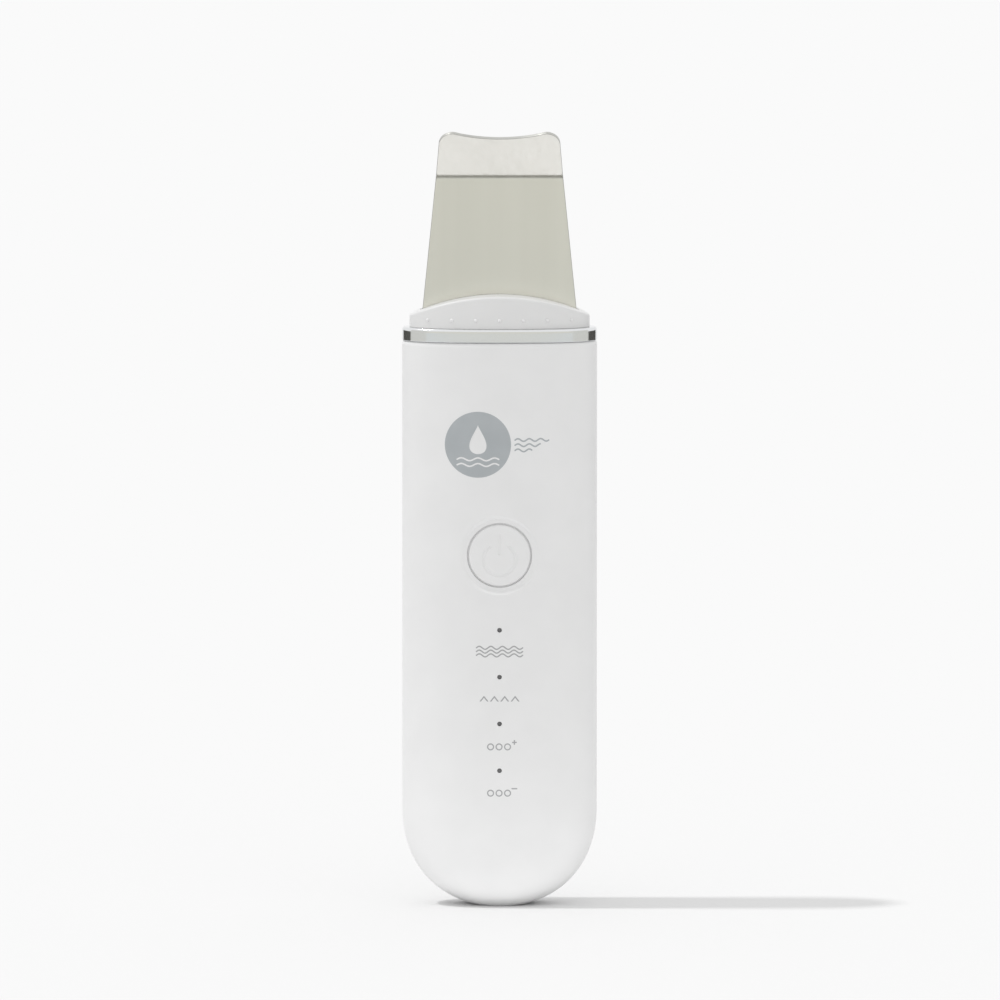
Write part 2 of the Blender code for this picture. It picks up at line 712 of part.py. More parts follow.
def board_parts():
    board_part("control_chip", (7.5 * MM, 51.1 * MM), (5 * MM, 1.4 * MM, 5 * MM), "black_plastic", True)
    board_part("drive_transistor", (-7.5 * MM, 55.1 * MM), (4 * MM, 1.4 * MM, 5 * MM), "black_plastic", True)
    board_part("boost_inductor", (-8.5 * MM, 77.1 * MM), (5 * MM, 3 * MM, 5 * MM), "black_plastic")
    board_part("drive_transformer", (0, 80.6 * MM), (9 * MM, 5.5 * MM, 8 * MM), "ceramic")
    board_part("battery_connector", (8.5 * MM, 75.1 * MM), (5.8 * MM, 3.6 * MM, 4 * MM), "white_plastic")
    can = (BACK_PARTS_Y, BACK_PARTS_Y + 5 * MM)
    cylinder("filter_capacitor", 2.5 * MM, *can, "aluminium", axis="Y", at=(8.5 * MM, 81.6 * MM))


# Battery.


def battery():
    box(
        "battery_cell",
        (-BATTERY_HALF_WIDTH, BATTERY_Y[0], BATTERY_Z[0]),
        (BATTERY_HALF_WIDTH, BATTERY_Y[1], BATTERY_Z[1]),
        "battery_wrap",
        bevel=BATTERY_EDGE,
    )
    half, margin = BATTERY_PAD_HALF_WIDTH, BATTERY_PAD_MARGIN
    low = (-half, BATTERY_Y[1] + CLEARANCE, BATTERY_Z[0] + margin)
    box("battery_pad", low, (half, BATTERY_PAD_BACK_Y, BATTERY_Z[1] - margin), "foam")


# Charging port.


def usb_socket():
    """A metal shell open at the back of the casing, with the contact tongue inside."""
    half_x, half_z = SOCKET_HALF
    outer = rounded_rectangle(half_x, half_z, SOCKET_CORNER, PORT_Z)
    socket = flat_outline("usb_socket", outer, BACK_PARTS_Y, SOCKET_MOUTH_Y, "screw_steel")
    floor = BACK_PARTS_Y + SOCKET_BACK
    half_x, half_z = half_x - SOCKET_WALL, half_z - SOCKET_WALL
    inner = rounded_rectangle(half_x, half_z, SOCKET_CORNER - SOCKET_WALL, PORT_Z)
    cut(socket, flat_outline("socket_room", inner, floor, OUTSIDE))
    half_x, half_z = TONGUE_HALF
    low = (-half_x, floor - SOCKET_WALL, PORT_Z - half_z)
    high = (half_x, TONGUE_END_Y, PORT_Z + half_z)
    join(socket, box("socket_tongue", low, high))


def port_cover():
    """A flap flush with the back, with a plug for the socket; it hinges on its lower outer edge."""
    middle = sum(COVER_Z) / 2
    half_height = (COVER_Z[1] - COVER_Z[0]) / 2
    outline = rounded_rectangle(COVER_HALF_WIDTH, half_height, COVER_CORNER, middle)
    cover = flat_outline("port_cover", outline, COVER_INNER_Y, OUTSIDE, "silicone")
    keep_inside(cover, body_form("cover_limit", FLUSH_DEPTH, SHELL_TOP))
    plug = rounded_rectangle(*COVER_PLUG, PORT_Z)
    join(cover, flat_outline("cover_plug", plug, COVER_PLUG_Y, COVER_INNER_Y + COVER_JOINT))
    hinge = bpy.data.objects.new("port_cover_hinge", None)
    PARTS.objects.link(hinge)
    hinge.location = (0, BODY_HALF_DEPTH, COVER_Z[0])
    bpy.context.view_layer.update()
    cover.parent = hinge
    cover.matrix_parent_inverse = hinge.matrix_world.inverted()


# Head.


def electrode_band():
    """A ring flush with the casing, with a solder tab that reaches down behind the horn."""
    band = oval_column("electrode_band", BODY_HALF_WIDTH, BODY_HALF_DEPTH, *BAND_Z, "chrome")
    inside = (BODY_HALF_WIDTH - WALL, BODY_HALF_DEPTH - WALL)
    cut(band, oval_column("band_room", *inside, NECK_BOTTOM_Z, COLLAR_TOP_Z))
    half = TAB_HALF_WIDTH
    bridge_high = (half, BODY_HALF_DEPTH - MM, BAND_Z[0] + TAB_SHEET)
    join(band, box("tab_bridge", (-half, TAB_Y, BAND_Z[0]), bridge_high))
    leg_high = (half, TAB_Y + TAB_SHEET, BAND_Z[0] + TAB_SHEET / 2)
    join(band, box("tab_leg", (-half, TAB_Y, TAB_BOTTOM_Z), leg_high))


def dome_height(x):
    """Height of the collar's arched top at x."""
    rise = COLLAR_TOP_Z - COLLAR_SHOULDER_Z
    radius = (COLLAR_HALF_WIDTH**2 + rise**2) / (2 * rise)
    return COLLAR_TOP_Z - radius + math.sqrt(radius**2 - x**2)


def collar_front(x):
    """Depth of the collar's oval section at x."""
    share = 1 - (abs(x) / COLLAR_HALF_WIDTH) ** SECTION_POWER
    return COLLAR_HALF_DEPTH * share ** (1 / SECTION_POWER)


def collar_ear(k, side):
    """An ear between the bosses of an upper case screw, which locks the collar in the casing."""
    x, z = CASE_SCREWS_HIGH[k]
    half = EAR_HALF_THICKNESS
    ear = cylinder(f"collar_ear_{k + 1}", BOSS_RADIUS - CLEARANCE, -half, half, axis="Y", at=(x, z))
    near, far = side * (abs(x) - BOSS_RADIUS + CLEARANCE), side * (NECK_HALF_WIDTH - 0.6 * MM)
    low = (min(near, far), -half, z)
    join(ear, box(f"ear_web_{k + 1}", low, (max(near, far), half, NECK_BOTTOM_Z + 2 * MM)))
    return ear


def blade_collar():
    steps = 16
    reach = COLLAR_HALF_WIDTH + MM
    arch = [reach * (1 - 2 * k / steps) for k in range(steps + 1)]
    outline = [(-reach, COLLAR_BASE_Z), (reach, COLLAR_BASE_Z)]
    outline += [(x, dome_height(x)) for x in arch]
    collar = flat_outline("blade_collar", outline, -OUTSIDE, OUTSIDE, "white_plastic")
    section = (COLLAR_HALF_WIDTH, COLLAR_HALF_DEPTH)
    keep_inside(collar, oval_column("collar_section", *section, NECK_BOTTOM_Z, COLLAR_TOP_Z + MM))
    neck = (NECK_HALF_WIDTH, NECK_HALF_DEPTH)
    join(collar, oval_column("collar_neck", *neck, NECK_BOTTOM_Z, COLLAR_BASE_Z + MM))
    bore = (NECK_HALF_WIDTH - NECK_WALL, NECK_HALF_DEPTH - NECK_WALL)
    cut(collar, oval_column("neck_bore", *bore, NECK_BOTTOM_Z - MM, COLLAR_BASE_Z - MM))
    for k, side in enumerate((-1, 1)):
        join(collar, collar_ear(k, side))
        at = CASE_SCREWS_HIGH[k]
        cut(collar, cross_hole(f"ear_hole_{k + 1}", SHANK_HOLE_RADIUS, at))
    for k in range(-3, 4):
        join(collar, collar_pip(k))
    root = BLADE_ROOT[0] + CLEARANCE
    half_slot = BLADE_THICKNESS / 2 + CLEARANCE
    floor = BLADE_ROOT[1] - CLEARANCE
    cut(collar, box("blade_slot", (-root, -half_slot, floor), (root, half_slot, COLLAR_TOP_Z + MM)))
    half_x, half_y = (half + CLEARANCE for half in GASKET_HALF)
    passage_low = (-half_x, -half_y, COLLAR_BASE_Z - 2 * MM)
    cut(collar, box("tang_passage", passage_low, (half_x, half_y, floor + 0.5 * CLEARANCE)))
    half = TAB_HALF_WIDTH + CLEARANCE
    notch_low = (-half, NECK_HALF_DEPTH - NECK_WALL - CLEARANCE, NECK_BOTTOM_Z - MM)
    cut(collar, box("tab_notch", notch_low, (half, BODY_HALF_DEPTH, BAND_Z[0] + MM)))
    use_manifold_solver(collar)


def collar_pip(k):
    """One of the seven small round pips along the collar's front."""
    x = k * PIP_PITCH
    bm = bmesh.new()
    bmesh.ops.create_uvsphere(bm, u_segments=8, v_segments=6, radius=PIP_RADIUS)
    place = (x, 0.3 * PIP_RADIUS - collar_front(x), PIP_Z)
    return add_object(f"collar_pip_{k + 4}", mesh_from("collar_pip", bm, smooth=True), None, place)


def blade_gasket():
    """A silicone block round the blade's tang, at the bottom of the collar's slot."""
    half_x, half_y = GASKET_HALF
    top = BLADE_ROOT[1] - CLEARANCE - GASKET_GAP
    low = (-half_x, -half_y, COLLAR_BASE_Z + CLEARANCE)
    block = box("blade_gasket", low, (half_x, half_y, top), "silicone")
    slot = (TANG_HALF_WIDTH + CLEARANCE, BLADE_THICKNESS / 2 + CLEARANCE)
    low, high = (-slot[0], -slot[1], COLLAR_BASE_Z), (slot[0], slot[1], COLLAR_TOP_Z)
    cut(block, box("gasket_slot", low, high))


def blade_outline():
    """The blade laid flat: tang, shoulders, tapered sides, round corners and a hollow end."""
    tip_z = BLADE_BEND[1] + BLADE_TIP_LENGTH
    corner = (BLADE_TIP_HALF_WIDTH - BLADE_CORNER_RADIUS, tip_z - BLADE_CORNER_RADIUS)
    right = [
        (TANG_HALF_WIDTH, TANG_BOTTOM_Z),
        (TANG_HALF_WIDTH, BLADE_ROOT[1] + CLEARANCE),
        BLADE_ROOT,
        BLADE_BEND,
    ]
    for k in range(7):
        angle = math.pi / 2 * k / 6
        x = corner[0] + BLADE_CORNER_RADIUS * math.cos(angle)
        right.append((x, corner[1] + BLADE_CORNER_RADIUS * math.sin(angle)))
    hollow = (corner[0] ** 2 + BLADE_END_DIP**2) / (2 * BLADE_END_DIP)
    for k in range(1, 6):
        x = corner[0] * (1 - k / 6)
        dip = BLADE_END_DIP - hollow + math.sqrt(hollow**2 - x**2)
        right.append((x, tip_z - dip))
    middle = (0, tip_z - BLADE_END_DIP)
    return [*right, middle, *((-x, z) for x, z in reversed(right))]


def fold(point):
    """Moves a point of the flat sheet to where the bend towards the front takes it."""
    start = BLADE_BEND[1] - BLADE_BEND_RADIUS * BLADE_TILT / 2
    past = point.z - start
    if past <= 0:
        return
    angle = min(past / BLADE_BEND_RADIUS, BLADE_TILT)
    straight = past - angle * BLADE_BEND_RADIUS
    reach = BLADE_BEND_RADIUS + point.y
    point.y = reach * math.cos(angle) - BLADE_BEND_RADIUS - straight * math.sin(angle)
    point.z = start + reach * math.sin(angle) + straight * math.cos(angle)


def blade():
    """A sheet cut to its outline, creased across at the bend and folded."""
    half = BLADE_THICKNESS / 2
    sheet = flat_outline("blade", blade_outline(), -half, half, "blade_steel")
    bm = bmesh.new()
    bm.from_mesh(sheet.data)
    bm.transform(sheet.matrix_world)
    sheet.matrix_world = Matrix.Identity(4)
    bend = BLADE_BEND_RADIUS * BLADE_TILT
    creases = [BLADE_BEND[1] + bend * (k / 4 - 0.5) for k in range(5)]
    for z in creases:
        everything = [*bm.verts, *bm.edges, *bm.faces]
        bmesh.ops.bisect_plane(bm, geom=everything, plane_co=(0, 0, z), plane_no=(0, 0, 1))
    for vertex in bm.verts:
        fold(vertex.co)
    bmesh.ops.recalc_face_normals(bm, faces=bm.faces)
    bm.to_mesh(sheet.data)
    bm.free()
    for k, z in enumerate(BLADE_SCREW_Z):
        cut(sheet, cross_hole(f"tang_hole_{k + 1}", BLADE_SCREW_HOLE, (0, z), sides=20))


# Transducer stack.


def ring(name, outer, inner, low, high, finish):
    """A flat washer or sleeve about the Z axis."""
    body = cylinder(name, outer, low, high, finish, sides=24)
    cut(body, cylinder(name + "_bore", inner, low - MM, high + MM, sides=24))
    return body


def horn():
    base, step, end = HORN_Z
    profile = [
        (0, end),
        (HORN_NECK_RADIUS, end),
        (HORN_NECK_RADIUS, step),
        (STACK_RADIUS, step),
        (STACK_RADIUS, base),
        (0, base),
    ]
    body = turned("horn", profile, "aluminium")
    half_slot = BLADE_THICKNESS / 2 + CLEARANCE
    low = (-STACK_RADIUS, -half_slot, TANG_BOTTOM_Z - CLEARANCE)
    cut(body, box("horn_slot", low, (STACK_RADIUS, half_slot, end + MM)))
    bore = (BOLT_RADIUS + CLEARANCE, base - MM, step + 2 * CLEARANCE)
    cut(body, cylinder("horn_bolt_bore", *bore, sides=16))
    for k, z in enumerate(BLADE_SCREW_Z):
        cut(body, cross_hole(f"horn_hole_{k + 1}", BLADE_SCREW_HOLE, (0, z)))


def blade_screws():
    """Two screws through the horn's prongs and the tang, entered from the front."""
    head, height = BLADE_SCREW_HEAD
    shank = BLADE_SCREW_HOLE - CLEARANCE
    seat = HORN_NECK_RADIUS + CLEARANCE
    top = seat + height
    profile = [(0, top), (head, top), (head, seat), (shank, seat), (shank, -seat), (0, -seat)]
    for k, z in enumerate(BLADE_SCREW_Z):
        turned(f"blade_screw_{k + 1}", profile, "screw_steel", (0, 0, z), FACING_FRONT, steps=12)


def transducer():
    ring("back_mass", STACK_RADIUS, BOLT_RADIUS + CLEARANCE, *BACK_MASS_Z, "screw_steel")
    for k, span in enumerate(PIEZO_Z):
        ring(f"piezo_ring_{k + 1}", STACK_RADIUS, PIEZO_BORE_RADIUS, *span, "ceramic")
    disc = ring("center_electrode", STACK_RADIUS, PIEZO_BORE_RADIUS, *ELECTRODE_Z, "copper")
    half = ELECTRODE_TAB_HALF
    low = (STACK_RADIUS - MM / 2, -half, ELECTRODE_Z[0])
    join(disc, box("electrode_tab", low, (ELECTRODE_TAB_X, half, ELECTRODE_Z[1])))
    head = BOLT_HEAD_RADIUS
    tip = HORN_Z[1] + CLEARANCE
    profile = [
        (0, tip),
        (BOLT_RADIUS, tip),
        (BOLT_RADIUS, BOLT_HEAD_Z[1]),
        (head, BOLT_HEAD_Z[1]),
        (head, BOLT_HEAD_Z[0]),
        (0, BOLT_HEAD_Z[0]),
    ]
    turned("stack_bolt", profile, "screw_steel", steps=16)
    horn()
    blade_screws()


def transducer_mount():
    """A silicone sleeve round the horn's neck, held by a saddle-shaped clamp and two screws."""
    ring("isolation_sleeve", SLEEVE_RADIUS, HORN_NECK_RADIUS + CLEARANCE, *SLEEVE_Z, "silicone")
    low = (-CLAMP_HALF_WIDTH, HALF_SEAM, CLAMP_Z[0])
    clamp = box("transducer_clamp", low, (CLAMP_HALF_WIDTH, OUTSIDE, CLAMP_Z[1]), "white_plastic")
    keep_inside(clamp, body_form("clamp_limit", WALL + CLEARANCE, SHELL_TOP))
    cut(clamp, cylinder("clamp_bore", SLEEVE_RADIUS + CLEARANCE, *SADDLE_SPAN, sides=32))
    for k, at in enumerate(CLAMP_SCREWS):
        hole = cross_hole(f"clamp_hole_{k + 1}", SHANK_HOLE_RADIUS, at, start=-MM)
        start = CLAMP_HEAD_Y - CLEARANCE
        cut(clamp, hole, cross_hole(f"clamp_well_{k + 1}", HEAD_WELL_RADIUS, at, start, sides=20))
        screw(f"clamp_screw_{k + 1}", at, CLAMP_HEAD_Y, CLAMP_TIP_Y)


# Wires.


def in_mm(points):
    return [tuple(value * MM for value in point) for point in points]


def wires():
    wire(
        "battery_lead_1",
        in_mm([(3.0, 2.1, 69.5), (3.4, 2.0, 70.6), (6.4, 1.2, 71.5), (7.2, 0.9, 72.8)]),
        "red_wire",
    )
    wire(
        "battery_lead_2",
        in_mm([(5.8, 2.1, 69.5), (6.3, 2.0, 70.2), (9.2, 1.2, 71.1), (9.9, 0.9, 72.8)]),
        "black_wire",
    )
    wire(
        "drive_lead_1",
        in_mm(
            [
                (5.3, -0.4, 85.1),
                (6.0, -0.2, 88.1),
                (7.9, 0, 93.1),
                (8.1, 0, 96.6),
                (7.8, 0, 98.3),
                (6.9, 0, 98.7),
            ]
        ),
        "red_wire",
    )
    wire(
        "drive_lead_2",
        in_mm([(-5.3, -0.4, 85.1), (-6.2, -0.2, 88.1), (-7.2, 0, 91.1), (-6.6, 0, 92.9), (-5.4, 0, 93.1)]),
        "white_wire",
    )
    wire(
        "band_lead",
        in_mm(
            [
                (-8.0, -0.4, 85.1),
                (-8.6, -0.2, 88.1),
                (-11.5, 0, 93.1),
                (-12.8, 0, 100.1),
                (-12.6, -0.4, 105.4),
                (-9.5, -0.4, 110.3),
                (-6.4, 2.2, 114.6),
                (-3.4, 3.9, 118.5),
                (-0.6, 4.6, 119.5),
                (0, 5.3, 119.5),
            ]
        ),
        "black_wire",
    )


def main():
    front_shell()
    back_shell()
    seam_gasket()
    case_screws()
    power_button()
    button_retainer()
    tact_switch()
    light_guide()
    mode_lights()
    main_board()
    board_parts()
    battery()
    usb_socket()
    port_cover()
    electrode_band()
    blade_collar()
    blade_gasket()
    blade()
    transducer()
    transducer_mount()
    wires()


main()
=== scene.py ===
"""Handheld ultrasonic skin scrubber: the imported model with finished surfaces, on a pale studio floor."""

import math

import bpy
import numpy as np
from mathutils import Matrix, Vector
from mathutils.geometry import delaunay_2d_cdt


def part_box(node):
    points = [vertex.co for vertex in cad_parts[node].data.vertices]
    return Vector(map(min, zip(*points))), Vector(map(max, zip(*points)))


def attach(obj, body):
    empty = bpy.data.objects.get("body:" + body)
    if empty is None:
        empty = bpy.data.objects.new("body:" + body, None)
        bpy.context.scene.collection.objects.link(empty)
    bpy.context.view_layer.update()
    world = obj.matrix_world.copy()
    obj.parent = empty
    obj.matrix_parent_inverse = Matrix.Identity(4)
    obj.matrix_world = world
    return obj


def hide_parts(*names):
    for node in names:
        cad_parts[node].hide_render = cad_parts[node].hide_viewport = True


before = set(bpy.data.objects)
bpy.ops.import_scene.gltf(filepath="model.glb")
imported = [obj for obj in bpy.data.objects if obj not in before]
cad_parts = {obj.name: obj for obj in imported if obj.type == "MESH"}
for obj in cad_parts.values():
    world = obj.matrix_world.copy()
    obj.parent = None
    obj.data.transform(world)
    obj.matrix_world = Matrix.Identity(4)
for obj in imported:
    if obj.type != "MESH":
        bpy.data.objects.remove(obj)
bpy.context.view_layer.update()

MM = 0.001
UP = np.array([0.0, 0.0, 1.0])
FRONT = np.array([0.0, -1.0, 0.0])


def low(node):
    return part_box(node)[0]


def high(node):
    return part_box(node)[1]


def middle(node):
    return (low(node) + high(node)) / 2


# Casing form, as in the model: an oval column with a rounded lower end, cut flat at the foot.
HALF_WIDTH = high("electrode_band").x
HALF_DEPTH = high("back_shell").y
POWER = 2.3
WALL = 1.8 * MM
SHELL_TOP = high("front_shell").z + 0.24 * MM
END_FRONT = (20.95 * MM, 21.4 * MM, 2.2)  # top, height, power
END_SIDE = (11.0 * MM, 12.0 * MM, 2.6)
TOP_EDGE = 1.0 * MM  # rounding of the top: height, depth
TOP_INSET = 0.5 * MM
SEAM = 0.08 * MM
SEAM_EDGE = 0.14 * MM
RIM_STEPS = 4
WINDOW_GAP = 0.04 * MM

BUTTON_Z = middle("power_button").z
BUTTON_FACE = low("power_button").y
BUTTON_BACK = high("power_button").y
BUTTON_RADIUS = 6.55 * MM
BUTTON_GAP = 0.3 * MM
BUTTON_EDGE = 0.45 * MM
BUTTON_STEP = (6.82 * MM, 0.6 * MM)  # radius, depth under the face
BUTTON_FLANGE = (7.9 * MM, BUTTON_BACK - 0.8 * MM)
SIGN_SINK = 0.16 * MM
SIGN_SLOPE = ((0.18, 1.0), (0.26, 0.72), (0.34, 0.28), (0.42, 0.0))  # half width in mm, share of the sink
DISH_PLANE = -7.95 * MM
DISH = (7.6 * MM, 8.5 * MM)

LENS_RADIUS = 0.46 * MM
LENS_GAP = 0.03 * MM
LENS_DOME = 0.12 * MM
LENS_FACE = low("light_guide").y
GUIDE = (-5.6 * MM, -4.8 * MM)  # front and back of the strip
LIGHT_Z = [middle(f"led_{k}").z for k in (1, 2, 3, 4)]

PLUGS = [middle(f"screw_plug_{k}") for k in (1, 2, 3, 4)]
PLUG_RADIUS = high("screw_plug_1").x - middle("screw_plug_1").x
PLUG_GAP = 0.2 * MM
PLUG_SEAT = 3.1 * MM
COVER = (low("port_cover"), high("port_cover"))
COVER_Z = (COVER[0].z + COVER[1].z) / 2
COVER_CORNER = 2.0 * MM
COVER_GAP = 0.3 * MM
COVER_BACK = 7.3 * MM
PAD_INSET = 0.1 * MM  # how far plugs and cover lie under the casing's surface
GRIP = (3, 1.5 * MM, 0.9 * MM, 0.3 * MM, 0.12 * MM)  # bars, first, pitch, half width, height
PORT_Z = middle("usb_socket").z
PORT_HALF = (high("usb_socket").x, high("usb_socket").z - PORT_Z)
PORT_FLOOR_BACK = 5.4 * MM
PORT_PLUG = (4.1 * MM, 1.3 * MM, 1.0 * MM)  # half width, half height, corner

BAND_TOP = high("electrode_band").z
BAND_Z = (SHELL_TOP + 0.06 * MM, BAND_TOP + 0.5 * MM)
BAND_EDGES = ((0.12 * MM, 0.12 * MM), (0.55 * MM, 0.85 * MM))  # lower and upper: depth, height
COLLAR_HALF = (high("blade_collar").x, high("blade_collar").y)
COLLAR_Z = (BAND_Z[1] + 0.01 * MM, BAND_TOP + 3.1 * MM, high("blade_collar").z)  # base, shoulder, top
COLLAR_EDGES = (0.05 * MM, 0.55 * MM)
NECK = (0.94, 0.80)  # share of the collar's outline
NECK_BORE = (0.91, 0.76)  # share of the neck's outline
NECK_Z = (COLLAR_Z[0] - 7.5 * MM, COLLAR_Z[0] - 0.9 * MM)  # lower end, bore's end
PIP_Z = BAND_TOP + 2.3 * MM
PIP_PITCH = 5.07 * MM
PIP_RADIUS = 0.42 * MM
PIP_SINK = 0.14 * MM
SLOT_HALF = (16.8 * MM, 0.7 * MM)
SLOT_SPREAD = (1.02, 4.0)

BLADE_HALF = 0.4 * MM
BLADE_EDGE = 0.12 * MM
BLADE_ROOT = (16.5 * MM, BAND_TOP + 2.5 * MM)
BLADE_BEND = (13.45 * MM, BAND_TOP + 32.5 * MM)
BLADE_TIP = (12.85 * MM, 11.4 * MM)  # half width, length past the bend
BLADE_CORNER = 3.0 * MM
BLADE_DIP = 1.4 * MM
BLADE_TILT = math.radians(33)
BEND_RADIUS = 2.4 * MM
TANG = (5.5 * MM, low("blade").z)
TANG_STEP = 0.3 * MM

# Prints.
INK_DEPTHS = (0.018 * MM, 0.02 * MM)  # over and under the casing's surface
EMBLEM = (-4.57 * MM, BUTTON_Z + 23.6 * MM, 7.0 * MM)  # centre and radius
MARK_HALF = 0.13 * MM
MARK_DROPS = (20.4 * MM, 30.5 * MM, 40.8 * MM, 50.7 * MM)  # under the button's centre

# Studio.
SUN_HEIGHT = math.radians(62.6)
SUN_STRENGTH = 1.07
SUN_ANGLE = math.radians(3.0)
GLOW_POWER = 0.0062
GLOW_SIZE = (0.10, 0.0505)
GLOW_PLACE = (0, -0.03275, 0.0006)
WORLD_COLOUR = (0.947, 0.947, 0.947)
FLOOR_ALBEDO = 0.765
FLOOR_HALF = 40.0
CARD_SPLIT = 0.0745  # height at which the front card changes colour
VIEW_WIDTH = 0.2124  # across the picture, at the object
VIEW_LENS = 400.0
VIEW_SENSOR = 36.0
VIEW_HEIGHT = math.radians(6.0)
VIEW_CENTRE = Vector((0.0001, 0, 0.08637))


def put(name, data, place=(0, 0, 0), direction=None):
    """An object of the data in the scene; lamps and cameras look along direction."""
    obj = bpy.data.objects.new(name, data)
    obj.location = place
    if direction is not None:
        obj.rotation_euler = direction.to_track_quat("-Z", "Y").to_euler()
    bpy.context.scene.collection.objects.link(obj)
    return obj


# Meshes: faces with a normal at each corner, welded where their corners meet.


class Patchwork:
    def __init__(self):
        self.index = {}
        self.points, self.faces, self.normals, self.slots = [], [], [], []

    def face(self, corners, normals=None, facing=None, slot=0):
        """normals holds one direction a corner; without them the face is flat and turned towards facing."""
        ids, kept = [], []
        for k, corner in enumerate(corners):
            key = tuple(round(value * 1e7) for value in corner)
            if key not in self.index:
                self.index[key] = len(self.points)
                self.points.append(tuple(float(value) for value in corner))
            if self.index[key] not in ids:
                ids.append(self.index[key])
                kept.append(None if normals is None else normals[k])
        if len(ids) < 3:
            return
        flat = newell([self.points[i] for i in ids])
        wanted = np.sum(kept, axis=0) if facing is None else facing
        if np.dot(flat, wanted) < 0:
            ids.reverse()
            kept.reverse()
            flat = -flat
        size = np.linalg.norm(flat)
        if size == 0:
            return
        self.faces.append(ids)
        self.normals.append([flat / size if n is None else n for n in kept])
        self.slots.append(slot)

    def strip(self, first, second, n_first=None, n_second=None, facing=None, closed=True, slot=0):
        """Quads between two rows of points; a row's normals may be one direction for all."""
        count = len(first)
        if n_first is not None:
            n_first = np.broadcast_to(n_first, (count, 3))
            n_second = n_first if n_second is None else np.broadcast_to(n_second, (count, 3))
        for k in range(count if closed else count - 1):
            j = (k + 1) % count
            normals = None if n_first is None else (n_first[k], n_first[j], n_second[j], n_second[k])
            self.face((first[k], first[j], second[j], second[k]), normals, facing, slot)

    def strips(self, rows, **more):
        """Strips between each row, of points and normals, and the next."""
        for (first, n_first), (second, n_second) in zip(rows, rows[1:]):
            self.strip(first, second, n_first, n_second, **more)

    def patch(self, found, points, normals=None, facing=None):
        """Faces over the found triangles of points."""
        for ids in found:
            kept = None if normals is None else [normals[k] for k in ids]
            self.face([points[k] for k in ids], kept, facing)

    def pane(self, outline, holes, y, facing):
        """Flat faces at y inside an outline of (x, z) and outside its holes."""
        flat, found = fill(outline, holes)
        self.patch(found, plane_rows(flat, y), facing=(0, facing, 0))

    def make(self, name, body, slots, replaced=(), slot_name=None):
        mesh = bpy.data.meshes.new(name)
        mesh.from_pydata(self.points, [], self.faces)
        mesh.shade_smooth()
        mesh.normals_split_custom_set([tuple(float(v) for v in n) for face in self.normals for n in face])
        for material in slots:
            mesh.materials.append(material)
        mesh.polygons.foreach_set("material_index", self.slots)
        obj = put(name, mesh)
        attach(obj, body)
        if replaced:
            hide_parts(*replaced)
        return obj


def newell(points):
    """Area-weighted normal of a polygon."""
    p = np.asarray(points)
    q = np.roll(p, -1, axis=0)
    return 0.5 * np.cross(p, q).sum(axis=0)


def unit(vectors):
    vectors = np.asarray(vectors, float)
    return vectors / np.maximum(np.linalg.norm(vectors, axis=-1, keepdims=True), 1e-12)


def inside(polygon, point):
    """Whether the point is inside the closed polygon, by counting crossings."""
    x, y = point
    p, q = polygon, np.roll(polygon, -1, axis=0)
    across = (p[:, 1] > y) != (q[:, 1] > y)
    with np.errstate(divide="ignore", invalid="ignore"):
        at = p[:, 0] + (y - p[:, 1]) * (q[:, 0] - p[:, 0]) / (q[:, 1] - p[:, 1])
    return bool(np.count_nonzero(across & (x < at)) % 2)


def triangles(loops, extra, keep):
    """Triangulates closed loops with extra points between them; keep says which triangles stay, by centre."""
    scale = 1000.0
    points, edges = [], []
    for loop in loops:
        start = len(points)
        points += [tuple(p) for p in loop]
        edges += [(start + k, start + (k + 1) % len(loop)) for k in range(len(loop))]
    points = np.array([*points, *(tuple(p) for p in extra)])
    coords = [Vector((p[0] * scale, p[1] * scale)) for p in points]
    _, _, faces, origin, _, _ = delaunay_2d_cdt(coords, edges, [], 0, 1e-6)
    found = [[origin[i][0] for i in face] for face in faces]
    return points, [ids for ids in found if keep(np.mean(points[ids], axis=0))]


def fill(outline, holes=(), extra=()):
    """Triangles inside an outline and outside the holes in it."""

    def keep(centre):
        return inside(outline, centre) and not any(inside(hole, centre) for hole in holes)

    return triangles([outline, *holes], extra, keep)


def between(start, end, spacing):
    """Grid of (x, z) points from one corner up to the other."""
    across, upwards = (np.arange(start[k], end[k], spacing) for k in (0, 1))
    return [np.array([x, z]) for x in across for z in upwards]


def quarter(steps, first=0):
    """Cosines and sines along a quarter turn."""
    angles = [math.pi / 2 * k / steps for k in range(first, steps + 1)]
    return [(math.cos(angle), math.sin(angle)) for angle in angles]


def plane_rows(ring, y):
    """Points at depth y for points of (x, z)."""
    return np.stack([ring[:, 0], np.full(len(ring), y), ring[:, 1]], axis=-1)


def at_height(flat, z):
    """Points at height z for points of (x, y)."""
    return np.column_stack([flat, np.full(len(flat), z)])


def inward(ring):
    """Directions from a ring's points to its inside, in the plane of the ring."""
    after, before = np.roll(ring, -1, axis=0), np.roll(ring, 1, axis=0)
    along = after - before
    area = (ring[:, 0] * after[:, 1] - ring[:, 1] * after[:, 0]).sum()
    return unit(np.stack([-along[:, 1], 0 * along[:, 0], along[:, 0]], axis=-1) * np.sign(area))


def outward(ring, z):
    """Directions to the ring's points from the point at height z in its middle."""
    return unit(plane_rows(ring - (0, z), 0.0))


# The casing's surface.


def oval_section(steps=4000):
    """Unit superellipse from the front's centre to the side, by arc length on the full section."""
    angle = np.linspace(0, math.pi / 2, steps)
    across, along = np.sin(angle) ** (2 / POWER), np.cos(angle) ** (2 / POWER)
    lengths = np.hypot(np.diff(across) * HALF_WIDTH, np.diff(along) * HALF_DEPTH)
    return np.concatenate([[0], np.cumsum(lengths)]), across, along


ARC, ACROSS, ALONG = oval_section()


def end_scale(z, end):
    top, height, power = end
    share = np.clip((top - np.asarray(z, float)) / height, 0, 1)
    return (1 - share**power) ** (1 / power)


